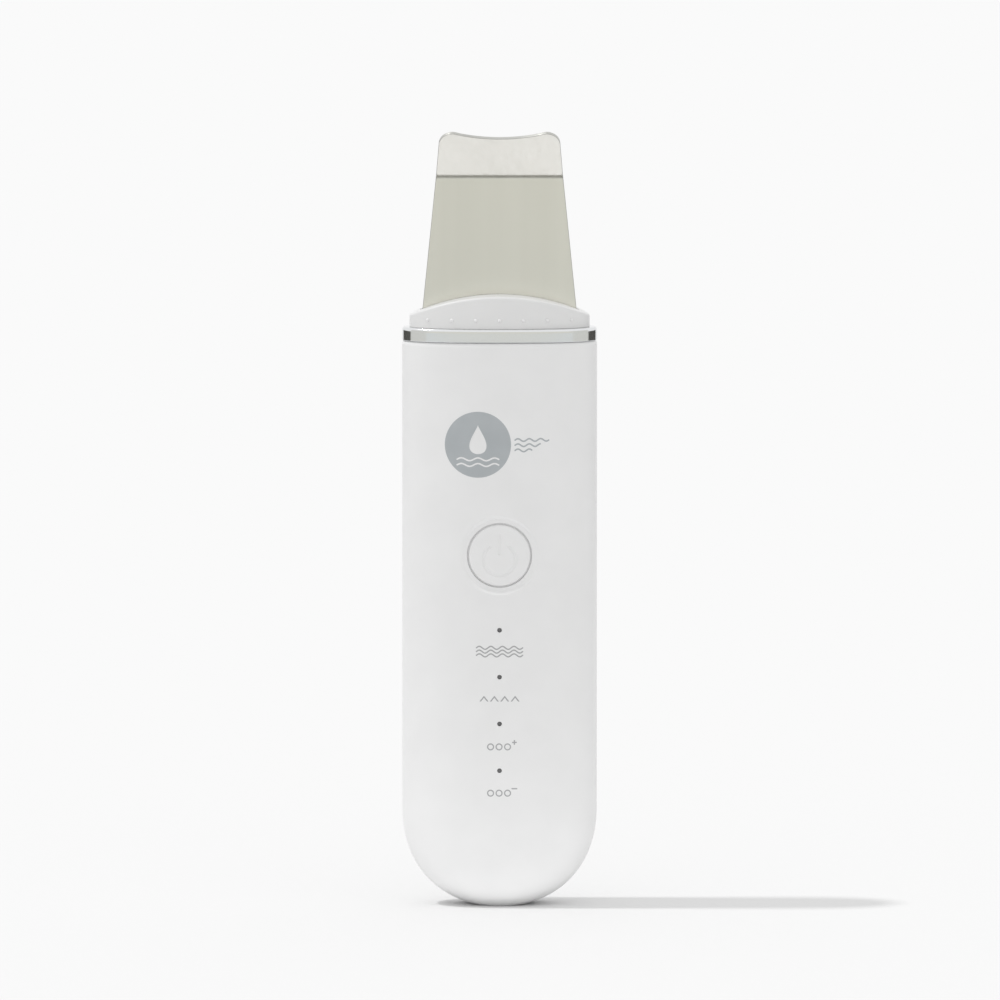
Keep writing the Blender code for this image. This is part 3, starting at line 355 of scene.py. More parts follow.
def half_sizes(z):
    return HALF_WIDTH * end_scale(z, END_FRONT), HALF_DEPTH * end_scale(z, END_SIDE)


def form_normal(x, y, z):
    """Outward normal of the casing's form at points on it."""
    a, b = half_sizes(z)
    step = 1e-6
    a_up, b_up = half_sizes(z + step)
    a_down, b_down = half_sizes(z - step)
    across, along = np.abs(x / a), np.abs(y / b)
    nx = np.sign(x) * across ** (POWER - 1) / a
    ny = np.sign(y) * along ** (POWER - 1) / b
    slope_a, slope_b = (a_up - a_down) / (2 * step), (b_up - b_down) / (2 * step)
    nz = -(across**POWER * slope_a / a + along**POWER * slope_b / b)
    return unit(np.stack([nx, ny, nz], axis=-1))


def form_depth(x, z):
    """How far the form reaches in front of, and behind, the parting plane at (x, z)."""
    a, b = half_sizes(z)
    share = np.clip(np.abs(x / a), 0, 1) ** POWER
    return b * (1 - share) ** (1 / POWER)


def arc_end(z):
    """Arc length at which the skin meets the seam's edge."""
    _, b = half_sizes(z)
    return np.interp(-(SEAM + SEAM_EDGE) / b, -ALONG, ARC)


def chart(flat):
    """Flat coordinates of points of the skin: share of the half section, scaled to metres, and z."""
    x, z = flat[:, 0], flat[:, 1]
    a, _ = half_sizes(z)
    arc = np.sign(x) * np.interp(np.abs(x / a), ACROSS, ARC)
    return np.stack([arc / arc_end(z) * ARC[-1], z], axis=-1)


def skin(q, z, side):
    """Points and normals of the skin at chart coordinates."""
    arc = q / ARC[-1] * arc_end(z)
    a, b = half_sizes(z)
    x = np.sign(arc) * np.interp(np.abs(arc), ARC, ACROSS) * a
    y = side * np.interp(np.abs(arc), ARC, ALONG) * b
    return np.stack([x, y, z], axis=-1), form_normal(x, y, z)


def on_form(flat, side):
    """Points and normals of the casing's form for points of (x, z)."""
    x, z = flat[:, 0], flat[:, 1]
    y = side * form_depth(x, z)
    return np.stack([x, y, z], axis=-1), form_normal(x, y, z)


def smooth(value, start, end):
    t = np.clip((value - start) / (end - start), 0, 1)
    return t * t * (3 - 2 * t)


def inner(points, normals, side):
    """The same points on the wall's inner face: straight back near the holes, along the normal elsewhere."""
    straight = smooth(np.abs(points[:, 0]), 19 * MM, 15.8 * MM) * smooth(points[:, 2], 3 * MM, 8 * MM)
    back = np.stack([0 * straight, -side * straight, 0 * straight], axis=-1)
    return points + WALL * unit(back - normals * (1 - straight)[:, None])


# Outlines in (x, z), as functions of the distance outside them.


def circle(x, z, radius, count=64):
    angles = 2 * math.pi * np.arange(count) / count
    ring = np.stack([np.cos(angles), np.sin(angles)], axis=-1)
    return lambda out: np.array([x, z]) + ring * (radius + out)


def rounded_box(x, z, half_x, half_z, radius, steps=8, straight=8):
    """Corner arcs joined by straight runs; every offset has the same number of points."""

    def loop(out):
        arcs = []
        for corner, (sx, sz) in enumerate(((1, 1), (-1, 1), (-1, -1), (1, -1))):
            centre = (x + sx * (half_x - radius), z + sz * (half_z - radius))
            angles = [math.pi / 2 * (corner + k / steps) for k in range(steps + 1)]
            arcs.append(centre + (radius + out) * np.array([(math.cos(a), math.sin(a)) for a in angles]))
        share = np.arange(1, straight)[:, None] / straight
        runs = [arc[-1] * (1 - share) + after[0] * share for arc, after in zip(arcs, arcs[1:] + arcs[:1])]
        return np.concatenate([part for pair in zip(arcs, runs) for part in pair])

    return loop


# Shells.


class Hole:
    """loop: its outline; edge: rounding of its rim; reach: how far the rings round it go; floor: the
    depth its wall runs to; lip: the ring round its inner end; shape: changes the skin's depth near it."""

    def __init__(self, loop, edge, reach, floor, lip, rings=(), shape=None, closed_by=None):
        self.loop, self.edge, self.reach, self.floor, self.lip = loop, edge, reach, floor, lip
        self.rings, self.shape, self.closed_by = rings, shape, closed_by


def ring_on(hole, out, side):
    """Points and normals of the hole's ring on the outer skin."""
    flat = hole.loop(out)
    if not hole.shape:
        return on_form(flat, side)
    x, z = flat[:, 0], flat[:, 1]
    step = 1e-6
    spots = ((x, z), (x + step, z), (x, z + step))
    here, right, above = (hole.shape(a, b, form_depth(a, b)) for a, b in spots)
    normals = unit(np.stack([-(right - here) / step, np.full(len(x), side), -(above - here) / step], -1))
    return plane_rows(flat, side * here), normals


def punch(work, hole, side):
    """The rings, rounded rim, wall and lip of a hole."""
    rows = [ring_on(hole, out, side) for out in (hole.reach, *hole.rings, hole.edge)]
    rim, rim_normals = rows[-1]
    into = unit(plane_rows(hole.loop(0) - hole.loop(1 * MM), 0.0))
    for c, s in quarter(RIM_STEPS, 1):
        points = plane_rows(hole.loop(hole.edge * (1 - s)), rim[:, 1] - side * hole.edge * (1 - c))
        rows.append((points, unit(rim_normals * c + into * s)))
    work.strips(rows)
    wall_end = plane_rows(hole.loop(0), side * hole.floor)
    work.strip(rows[-1][0], wall_end, into)
    if hole.closed_by:
        hole.closed_by(work, hole, side)
        return
    flat = hole.loop(hole.lip)
    lip = plane_rows(flat, side * hole.floor)
    work.strip(wall_end, lip, facing=(0, -side, 0))
    work.strip(lip, inner(*on_form(flat, side), side), -into)


def lattice():
    """Columns across the half section, closer together towards the sides, and rows up the casing."""
    t = np.linspace(-1, 1, 81)
    columns = t * (1 + 0.35 * (1 - t * t)) * ARC[-1]
    end = END_FRONT[0] * (np.arange(31) / 30) ** 1.6
    body = np.linspace(END_FRONT[0], SHELL_TOP - TOP_EDGE, 62)[1:]
    between_holes = COVER[0].z - np.array([1.2, 1.0, 0.8, 0.6]) * MM  # from the plugs to the cover
    return columns, np.sort(np.concatenate([end, body, between_holes]))


def window(columns, rows, hole):
    """Lattice rows and columns just outside the hole's outer ring, and the ring in the chart."""
    ring = chart(hole.loop(hole.reach))
    (q0, z0), (q1, z1) = ring.min(axis=0) - WINDOW_GAP, ring.max(axis=0) + WINDOW_GAP
    i0, i1 = np.searchsorted(rows, z0) - 1, np.searchsorted(rows, z1)
    j0, j1 = np.searchsorted(columns, q0) - 1, np.searchsorted(columns, q1)
    return (i0, i1, j0, j1), ring


def skin_faces(work, columns, rows, holes, side, is_inner):
    """The lattice with a triangulated window round each hole."""
    grid = [skin(columns, np.full(len(columns), z), side) for z in rows]
    points, normals = (np.array([row[part] for row in grid]) for part in (0, 1))
    if is_inner:
        points = inner(points.reshape(-1, 3), normals.reshape(-1, 3), side).reshape(points.shape)
        normals = -normals
    taken = set()
    for hole in holes:
        (i0, i1, j0, j1), ring = window(columns, rows, hole)
        ring_points, n_ring = ring_on(hole, hole.reach, side)
        if is_inner:
            flat = hole.loop(hole.lip)
            ring = chart(flat)
            ring_points, n_ring = on_form(flat, side)
            ring_points, n_ring = inner(ring_points, n_ring, side), -n_ring
        taken |= {(i, j) for i in range(i0, i1) for j in range(j0, j1)}
        border = [(i0, j) for j in range(j0, j1)] + [(i, j1) for i in range(i0, i1)]
        border += [(i1, j) for j in range(j1, j0, -1)] + [(i, j0) for i in range(i1, i0, -1)]
        frame_loop = np.array([(columns[j], rows[i]) for i, j in border])
        _, found = triangles([frame_loop, ring], (), lambda c: not inside(ring, c))
        at_border = tuple(zip(*border))
        here = np.concatenate([points[at_border], ring_points])
        work.patch(found, here, np.concatenate([normals[at_border], n_ring]))
    for i in range(len(rows) - 1):
        for j in range(len(columns) - 1):
            if (i, j) not in taken:
                corner = ((i, j), (i, j + 1), (i + 1, j + 1), (i + 1, j))
                work.face([points[c] for c in corner], [normals[c] for c in corner])
    return points, normals


def shell(name, side, holes, node):
    """One half of the casing: outer skin, rounded top edge, seam edge, inner skin and the faces between."""
    work = Patchwork()
    columns, rows = lattice()
    outer, n_outer = skin_faces(work, columns, rows, holes, side, False)
    within, n_within = skin_faces(work, columns, rows, holes, side, True)
    for hole in holes:
        punch(work, hole, side)
    top, n_top = outer[-1], n_outer[-1]
    edge_rows = [(top, n_top)]
    for c, s in quarter(5, 1):
        shift = -TOP_INSET * (1 - c) * n_top + TOP_EDGE * s * UP
        edge_rows.append((top + shift, unit(n_top * TOP_EDGE * c + UP * TOP_INSET * s)))
    work.strips(edge_rows, closed=False)
    brim = within[-1] + TOP_EDGE * UP
    work.strip(edge_rows[-1][0], brim, UP, closed=False)
    work.strip(brim, within[-1], n_within[-1], closed=False)
    work.face(outer[0], facing=-UP)
    work.face(within[0], facing=UP)
    seam_faces(work, outer, n_outer, within, edge_rows[1:], brim, -side)
    return work.make(name, "casing", [WHITE], (node,))


def seam_faces(work, outer, n_outer, within, edge_rows, brim, other):
    """The rounded edge along the seam and the flat face that meets the other half."""
    towards = np.array([0.0, other, 0.0])
    ends = []
    for j in (0, -1):
        chain = [*outer[:, j], *(row[j] for row, _ in edge_rows)]
        facing = [unit(n_outer[0, j] - UP), *n_outer[1:, j], *(normals[j] for _, normals in edge_rows)]
        turned = [c - SEAM_EDGE * n + SEAM_EDGE * towards for c, n in zip(chain, facing)]
        work.strip(chain, turned, facing, [unit(n + towards) for n in facing], closed=False)
        flat = within[:, j] + SEAM_EDGE * towards
        brim_flat = brim[j] + SEAM_EDGE * towards
        work.strip(within[:, j], flat, -n_outer[:, j], closed=False)
        work.face([within[-1, j], brim[j], brim_flat, flat[-1]], facing=-n_outer[-1, j])
        work.strip(turned[: len(flat)], flat, facing=towards, closed=False)
        work.face([*turned[len(flat) - 1 :], brim_flat, flat[-1]], facing=towards)
        work.face([chain[-1], turned[-1], brim_flat, brim[j]], facing=UP)
        ends.append((chain[0], turned[0], within[0, j], flat[0]))
    (a, a_turned, b_in, b_flat), (c, c_turned, d_in, d_flat) = ends
    work.face([a, c, c_turned, a_turned], facing=0.5 * towards - UP)
    work.face([a_turned, c_turned, d_flat, b_flat], facing=towards)
    work.face([b_in, d_in, d_flat, b_flat], facing=UP)


def dish(x, z, depth):
    """Skin depth round the button: a flat seat with a soft edge."""
    radius = np.hypot(x, z - BUTTON_Z)
    flat = 1 - smooth(radius, *DISH)
    return depth * (1 - flat) - DISH_PLANE * flat


def front_holes():
    well = BUTTON_RADIUS + BUTTON_GAP
    rings = [DISH[1] - well - step * MM for step in (0.0, 0.15, 0.3, 0.45, 0.6, 0.75, 0.9)]
    seat = circle(0, BUTTON_Z, well, 128)
    holes = [Hole(seat, 0.14 * MM, rings[0] + 0.1 * MM, 6.0 * MM, 1.75 * MM, rings, dish)]
    for z in LIGHT_Z:
        holes.append(Hole(circle(0, z, LENS_RADIUS + LENS_GAP, 32), 0.05 * MM, 0.5 * MM, 6.5 * MM, 0.4 * MM))
    return holes


def port_floor(work, hole, side):
    """The recess's floor with the port opening through it, and the back of that floor."""
    front, back = side * (COVER_BACK - COVER_GAP), side * PORT_FLOOR_BACK
    opening = rounded_box(0, PORT_Z, PORT_HALF[0] + COVER_GAP, PORT_HALF[1] + COVER_GAP, 1.5 * MM)(0)
    lip = hole.loop(hole.lip)
    work.pane(hole.loop(0), [opening], front, side)
    work.strip(plane_rows(opening, front), plane_rows(opening, back), inward(opening))
    work.pane(lip, [opening], back, -side)
    work.strip(plane_rows(lip, back), inner(*on_form(lip, side), side), -inward(lip))


def back_holes():
    edge, reach = 0.12 * MM, 0.25 * MM
    loops = [circle(plug.x, plug.z, PLUG_RADIUS + PLUG_GAP, 48) for plug in PLUGS]
    holes = [Hole(loop, edge, reach, PLUG_SEAT, reach) for loop in loops]
    half_x, half_z = COVER[1].x + COVER_GAP, COVER[1].z - COVER_Z + COVER_GAP
    loop = rounded_box(0, COVER_Z, half_x, half_z, COVER_CORNER + COVER_GAP)
    return [*holes, Hole(loop, edge, reach, COVER_BACK - COVER_GAP, reach, closed_by=port_floor)]


# Materials.


def node_material(name):
    material = bpy.data.materials.new(name)
    material.use_nodes = True
    return material


def node(tree, kind, **values):
    made = tree.nodes.new(kind)
    for key, value in values.items():
        if key in made.inputs:
            made.inputs[key].default_value = value
        else:
            setattr(made, key, value)
    return made


def finish(name, dark, light, rough, metallic=0.0, grain=900.0, stretch=(1, 1, 1), bump=0.2, depth=2e-6):
    """A Principled finish whose colour, roughness and relief follow noise; stretch sets the grain's run."""
    material = node_material(name)
    tree = material.node_tree
    shader = tree.nodes["Principled BSDF"]
    shader.inputs["Metallic"].default_value = metallic
    place = node(tree, "ShaderNodeTexCoord")
    mapping = node(tree, "ShaderNodeMapping", Scale=stretch)
    fine = node(tree, "ShaderNodeTexNoise", Scale=grain, Detail=4.0, Roughness=0.6)
    broad = node(tree, "ShaderNodeTexNoise", Scale=grain / 12, Detail=2.0)
    colour = node(tree, "ShaderNodeValToRGB")
    for stop, spot, tint in zip(colour.color_ramp.elements, (0.3, 0.7), (dark, light)):
        stop.position, stop.color = spot, (*tint, 1)
    limits = {"From Min": 0.3, "From Max": 0.7, "To Min": rough[0], "To Max": rough[1]}
    spread = node(tree, "ShaderNodeMapRange", **limits)
    relief = node(tree, "ShaderNodeBump", Strength=bump, Distance=depth)
    for source, output, target, socket in (
        (place, "Object", mapping, "Vector"),
        (mapping, "Vector", fine, "Vector"),
        (mapping, "Vector", broad, "Vector"),
        (broad, "Fac", colour, "Fac"),
        (colour, "Color", shader, "Base Color"),
        (fine, "Fac", spread, "Value"),
        (spread, "Result", shader, "Roughness"),
        (fine, "Fac", relief, "Height"),
        (relief, "Normal", shader, "Normal"),
    ):
        tree.links.new(source.outputs[output], target.inputs[socket])
    return material


WHITE = finish("white_plastic.satin", (0.735,) * 3, (0.755,) * 3, (0.36, 0.44), 0.0, 1500.0)
COLLAR_WHITE = finish(
    "white_plastic.collar", (0.69, 0.69, 0.688), (0.71, 0.71, 0.708), (0.4, 0.48), 0.0, 1500.0
)
CHROME = finish(
    "chrome.plated", (0.79, 0.80, 0.81), (0.82, 0.83, 0.84), (0.10, 0.15), 1.0, 400.0, bump=0.05, depth=1e-6
)
STEEL = finish(
    "blade_steel.brushed",
    (0.77, 0.765, 0.71), (0.81, 0.805, 0.75), (0.28, 0.36), 1.0, 1600.0, (1, 1, 0.03), depth=5e-7,
)
# Edge finish: its darker colour is painted shade standing in for the dark outline along the blade's edge; its
# slightly rougher grain is the steel's own.
STEEL_EDGE_SHADE = finish("blade_steel.edge", (0.50, 0.50, 0.48), (0.56, 0.56, 0.53), (0.3, 0.42), 1.0, 2500.0)
LENS = finish("clear_plastic.smoked", (0.11, 0.11, 0.112), (0.14, 0.14, 0.142), (0.18, 0.26), 0.0, 800.0)
RUBBER = finish(
    "silicone.matt", (0.80, 0.80, 0.79), (0.84, 0.84, 0.83), (0.55, 0.7), 0.0, 1800.0, bump=0.35, depth=4e-6
)
INK = finish("print.grey", (0.36, 0.385, 0.40), (0.39, 0.415, 0.43), (0.42, 0.55), 0.0, 2500.0)
LABEL_INK = finish("print.mode_grey", (0.33, 0.335, 0.34), (0.36, 0.365, 0.37), (0.42, 0.55), 0.0, 2500.0)

# Pieces kept from the model: two colours, roughness, metallic, grain, relief.
KEPT = {
    "white_plastic": ((0.80, 0.80, 0.79), (0.86, 0.86, 0.85), (0.38, 0.5), 0.0, 900.0, 2e-6),
    "inner_plastic": ((0.74, 0.74, 0.72), (0.82, 0.82, 0.80), (0.4, 0.55), 0.0, 700.0, 4e-6),
    "chrome": ((0.77, 0.79, 0.80), (0.82, 0.83, 0.84), (0.06, 0.12), 1.0, 500.0, 1e-6),
    "blade_steel": ((0.72, 0.71, 0.66), (0.78, 0.77, 0.72), (0.28, 0.4), 1.0, 1500.0, 2e-6),
    "clear_plastic": ((0.05, 0.05, 0.05), (0.08, 0.08, 0.08), (0.15, 0.3), 0.0, 500.0, 1e-6),
    "black_plastic": ((0.015, 0.015, 0.016), (0.035, 0.035, 0.037), (0.4, 0.6), 0.0, 1200.0, 8e-6),
    "light_white": ((0.80, 0.74, 0.45), (0.88, 0.85, 0.70), (0.25, 0.4), 0.0, 1500.0, 2e-6),
    "board_green": ((0.01, 0.10, 0.04), (0.03, 0.22, 0.09), (0.3, 0.5), 0.0, 900.0, 1.2e-5),
    "ferrite": ((0.045, 0.042, 0.04), (0.09, 0.085, 0.08), (0.5, 0.8), 0.0, 2500.0, 1.2e-5),
    "piezo_ceramic": ((0.22, 0.20, 0.17), (0.34, 0.31, 0.27), (0.6, 0.8), 0.0, 2200.0, 6e-6),
    "aluminium": ((0.62, 0.63, 0.65), (0.72, 0.73, 0.75), (0.25, 0.42), 1.0, 1800.0, 4e-6),
    "steel": ((0.42, 0.42, 0.43), (0.56, 0.56, 0.57), (0.25, 0.45), 1.0, 2200.0, 4e-6),
    "copper": ((0.66, 0.34, 0.18), (0.80, 0.47, 0.30), (0.25, 0.4), 1.0, 1200.0, 2e-6),
    "silicone": ((0.70, 0.70, 0.69), (0.80, 0.80, 0.79), (0.55, 0.7), 0.0, 1600.0, 6e-6),
    "battery_wrap": ((0.45, 0.47, 0.50), (0.58, 0.60, 0.63), (0.22, 0.36), 0.5, 500.0, 6e-6),
    "foam": ((0.02, 0.02, 0.02), (0.09, 0.09, 0.09), (0.85, 1.0), 0.0, 2600.0, 6e-5),
    "wire_red": ((0.42, 0.015, 0.015), (0.60, 0.03, 0.03), (0.35, 0.5), 0.0, 1500.0, 2e-6),
    "wire_black": ((0.012, 0.012, 0.012), (0.03, 0.03, 0.03), (0.35, 0.5), 0.0, 1500.0, 2e-6),
    "wire_white": ((0.72, 0.72, 0.70), (0.82, 0.82, 0.80), (0.35, 0.5), 0.0, 1500.0, 2e-6),
}


def finish_kept_nodes():
    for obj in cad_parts.values():
        for place in obj.material_slots:
            slot_name = place.material.name.split(".")[0]
            wanted = f"{slot_name}.kept"
            if wanted not in bpy.data.materials:
                *looks, depth = KEPT[slot_name]
                finish(wanted, *looks, bump=0.5, depth=depth)
            place.material = bpy.data.materials[wanted]


# Head: band, collar, pips and blade.


def oval_ring(half_x, half_y, count=192):
    """Points of a superellipse as (x, y), and their level normals."""
    angles = 2 * math.pi * (np.arange(count) + 0.5) / count
    c, s = np.cos(angles), np.sin(angles)
    x = np.sign(c) * np.abs(c) ** (2 / POWER) * half_x
    y = np.sign(s) * np.abs(s) ** (2 / POWER) * half_y
    nx = np.sign(x) * np.abs(x / half_x) ** (POWER - 1) / half_x
    ny = np.sign(y) * np.abs(y / half_y) ** (POWER - 1) / half_y
    return np.stack([x, y], axis=-1), unit(np.stack([nx, ny, 0 * nx], axis=-1))


def electrode_band():
    work = Patchwork()
    ring, level = oval_ring(HALF_WIDTH, HALF_DEPTH)
    rows = []
    for sign, z, (depth, height) in zip((-1, 1), BAND_Z, BAND_EDGES):
        for c, s in quarter(6)[::sign]:
            points = at_height(ring, z) - depth * (1 - c) * level - height * (1 - s) * sign * UP
            rows.append((points, unit(level * height * c + sign * UP * depth * s)))
    work.strips(rows)
    bottom, top = (at_height(ring, z) - WALL * level for z in BAND_Z)
    work.strip(rows[-1][0], top, UP)
    work.strip(top, bottom, -level)
    work.strip(bottom, rows[0][0], -UP)
    return work.make("electrode_band_fine", "casing", [CHROME], ("electrode_band",))


def on_dome(flat):
    """Points and normals of the collar's arched top for points of (x, y)."""
    x = flat[:, 0]
    rise = COLLAR_Z[2] - COLLAR_Z[1]
    radius = (COLLAR_HALF[0] ** 2 + rise**2) / (2 * rise)
    drop = np.sqrt(np.maximum(radius**2 - x**2, 0))
    normals = unit(np.column_stack([x / drop, 0 * x, 0 * x + 1]))
    return np.column_stack([flat, COLLAR_Z[2] - radius + drop]), normals


def blade_collar():
    """Oval wall with an arched top, both rounded at their edges, and a slot for the blade."""
    work = Patchwork()
    ring, level = oval_ring(*COLLAR_HALF)
    count = len(ring)
    base_edge, top_edge = COLLAR_EDGES
    steps = 6
    rows = []
    for c, s in reversed(quarter(steps)):
        points = at_height(ring, COLLAR_Z[0] + base_edge * (1 - s)) - base_edge * (1 - c) * level
        rows.append((points, unit(level * c - UP * s)))
    corner, top_normal = on_dome(ring)
    along = (level * top_normal).sum(axis=1, keepdims=True)
    centre = corner - top_edge / (1 + along) * (level + top_normal)
    angle = np.arccos(np.clip(along, -1, 1))
    for k in range(steps + 1):
        normals = unit(np.sin((1 - k / steps) * angle) * level + np.sin(k / steps * angle) * top_normal)
        rows.append((centre + top_edge * normals, normals))
    rim = rows[-1][0][:, :2]
    slot = np.clip(ring / COLLAR_HALF * SLOT_SPREAD, -1, 1) * SLOT_HALF
    for share in (0.25, 0.5, 0.75, 1.0):
        rows.append(on_dome(rim * (1 - share) + slot * share))
    work.strips(rows)
    floor_z = BLADE_ROOT[1] - TANG_STEP
    slot_top, slot_floor = rows[-1][0], at_height(slot, floor_z)
    for k in range(count):
        j = (k + 1) % count
        across = slot[j] - slot[k]
        if np.linalg.norm(across) > 0:
            corners = (slot_top[k], slot_top[j], slot_floor[j], slot_floor[k])
            work.face(corners, facing=(-across[1], across[0], 0))
    tang = rounded_box(0, 0, TANG[0] + 0.2 * MM, SLOT_HALF[1] - 0.2 * MM, 0.1 * MM, 2, 6)(0)
    neck = ring * NECK
    bore = neck * NECK_BORE
    for outer, hole, z, facing in (
        (slot, tang, floor_z, 1),
        (rows[0][0][:, :2], neck, COLLAR_Z[0], -1),
        (neck, bore, NECK_Z[0], -1),
        (bore, tang, NECK_Z[1], -1),
    ):
        moved = np.abs(outer - np.roll(outer, 1, axis=0)).sum(axis=1) > 1e-9
        flat, found = fill(outer[moved], [hole])
        work.patch(found, at_height(flat, z), facing=facing * UP)
    work.strip(at_height(neck, COLLAR_Z[0]), at_height(neck, NECK_Z[0]), level)
    work.strip(*(at_height(bore, z) for z in NECK_Z), -level)
    work.strip(at_height(tang, NECK_Z[1]), at_height(tang, floor_z), inward(tang)[:, [0, 2, 1]])
    return work.make("blade_collar_fine", "casing", [COLLAR_WHITE], ("blade_collar",))


def pips():
    """Seven small domes along the collar's front."""
    half_x, half_y = COLLAR_HALF
    turn = 2 * math.pi * np.arange(24)[:, None] / 24
    for k in range(-3, 4):
        x = k * PIP_PITCH
        y = -half_y * (1 - (abs(x) / half_x) ** POWER) ** (1 / POWER)
        sideways = math.copysign((abs(x) / half_x) ** (POWER - 1) / half_x, x)
        out = unit([sideways, -((-y / half_y) ** (POWER - 1)) / half_y, 0])
        around = np.cos(turn) * np.array([-out[1], out[0], 0.0]) + np.sin(turn) * UP
        base = np.array([x, y, PIP_Z]) - PIP_SINK * out
        directions = [unit(around * c + out * s) for c, s in quarter(8)[:-1]]
        rows = [(base + PIP_RADIUS * normals, normals) for normals in directions]
        work = Patchwork()
        work.strips(rows)
        work.face(rows[0][0], facing=-out)
        work.strip(rows[-1][0], [base + PIP_RADIUS * out] * len(turn), rows[-1][1], out)
        work.make(f"collar_pip_{k + 4}", "casing", [WHITE])


def blade_outline():
    """The blade laid flat, right side from the tang to the tip's middle, then mirrored."""
    tip_z = BLADE_BEND[1] + BLADE_TIP[1]
    corner = (BLADE_TIP[0] - BLADE_CORNER, tip_z - BLADE_CORNER)
    stops = (TANG, (TANG[0], BLADE_ROOT[1] + TANG_STEP), BLADE_ROOT, BLADE_BEND, (BLADE_TIP[0], corner[1]))
    right = [TANG]
    for (x0, z0), (x1, z1), count in zip(stops, stops[1:], (6, 10, 30, 8)):
        right += [(x0 + (x1 - x0) * k / count, z0 + (z1 - z0) * k / count) for k in range(1, count + 1)]
    right += [(corner[0] + BLADE_CORNER * c, corner[1] + BLADE_CORNER * s) for c, s in quarter(18, 1)]
    hollow = (corner[0] ** 2 + BLADE_DIP**2) / (2 * BLADE_DIP)
    for k in range(1, 24):
        x = corner[0] * (1 - k / 24)
        dip = BLADE_DIP - hollow + math.sqrt(hollow**2 - x**2)
        right.append((x, tip_z - dip * float(0.6 + 0.4 * smooth(k / 24, 0.0, 0.18))))
    return np.array([*right, (0, tip_z - BLADE_DIP), *((-x, z) for x, z in reversed(right))])


def folded(points, normals):
    """The flat sheet's points and normals after the bend towards the front."""
    start = BLADE_BEND[1] - BEND_RADIUS * BLADE_TILT / 2
    past = points[:, 2] - start
    angle = np.clip(past / BEND_RADIUS, 0, BLADE_TILT)
    straight = np.maximum(past - angle * BEND_RADIUS, 0)
    reach = BEND_RADIUS + points[:, 1]
    bent = past > 0
    c, s = np.cos(angle), np.sin(angle)
    y = np.where(bent, reach * c - BEND_RADIUS - straight * s, points[:, 1])
    z = np.where(bent, start + reach * s + straight * c, points[:, 2])
    ny = normals[:, 1] * c - normals[:, 2] * s
    nz = normals[:, 1] * s + normals[:, 2] * c
    return np.column_stack([points[:, 0], y, z]), np.column_stack([normals[:, 0], ny, nz])


def blade():
    """A brushed sheet with fine rounded edges, bent across near its tip; it casts no shadow, as in the photo."""
    work = Patchwork()
    outline = blade_outline()
    inwards = inward(outline)
    flat_in = inwards[:, [0, 2]]
    heights = list(BLADE_BEND[1] + BEND_RADIUS * BLADE_TILT * (np.arange(13) / 12 - 0.5))
    heights += [BLADE_ROOT[1] + k * MM for k in range(2, 31, 2)]
    heights += [BLADE_BEND[1] + k * MM for k in (1.2, 2.4, 3.6, 4.8, 6.0)]
    extra = []
    for z in heights:
        share = (z - BLADE_ROOT[1]) / (BLADE_BEND[1] - BLADE_ROOT[1])
        half = BLADE_ROOT[0] + (BLADE_BEND[0] - BLADE_ROOT[0]) * min(share, 1) - 0.5 * MM
        extra += [(x, z) for x in np.linspace(-half, half, 25)]
    flat, found = fill(outline + flat_in * BLADE_EDGE, (), extra)
    rows = []
    for side in (-1, 1):
        facing = np.repeat([-side * FRONT], len(flat), axis=0)
        points, normals = folded(plane_rows(flat, side * BLADE_HALF), facing)
        work.patch(found, points, normals)
        for c, s in quarter(4)[::side]:
            moved = outline + flat_in * BLADE_EDGE * (1 - c)
            y = side * (BLADE_HALF - BLADE_EDGE * (1 - s))
            rows.append(folded(plane_rows(moved, y), unit(-inwards * c - side * s * FRONT)))
    # The rounded edge strips take the darker edge finish, a painted shade along the blade's outline.
    work.strips(rows, slot=1)
    sheet = work.make("blade_fine", "casing", [STEEL, STEEL_EDGE_SHADE], ("blade",))
    sheet.visible_shadow = False


# Button, lights, plugs and cover.


def stroke(path, width, ends=8):
    """Outline of a round-ended stroke of the given half width along a path of (x, z)."""
    path = np.asarray(path, float)
    along = unit(np.gradient(path, axis=0))
    ahead = unit(np.diff(path, axis=0, append=path[-1:] + along[-1:]))
    mitre = np.maximum((along * ahead).sum(axis=1, keepdims=True), 0.4)
    side = np.column_stack([-along[:, 1], along[:, 0]]) / mitre

    def cap(centre, direction):
        start = math.atan2(direction[0], -direction[1])
        angles = start - math.pi * np.arange(1, ends) / ends
        return centre + width * np.column_stack([np.cos(angles), np.sin(angles)])

    last, first = cap(path[-1], along[-1]), cap(path[0], -along[0])
    return np.concatenate([path + side * width, last, (path - side * width)[::-1], first])


def power_symbol():
    """Centrelines of the sign on the button: an open ring and an upright."""
    radius, middle_z = 3.4 * MM, BUTTON_Z - 0.9 * MM
    gap = math.radians(36)
    angles = np.linspace(math.pi / 2 + gap, math.pi / 2 - gap + 2 * math.pi, 60)
    ring = np.column_stack([radius * np.cos(angles), middle_z + radius * np.sin(angles)])
    upright = np.column_stack([np.zeros(10), BUTTON_Z + np.linspace(4.3, 0.4, 10) * MM])
    return ring, upright


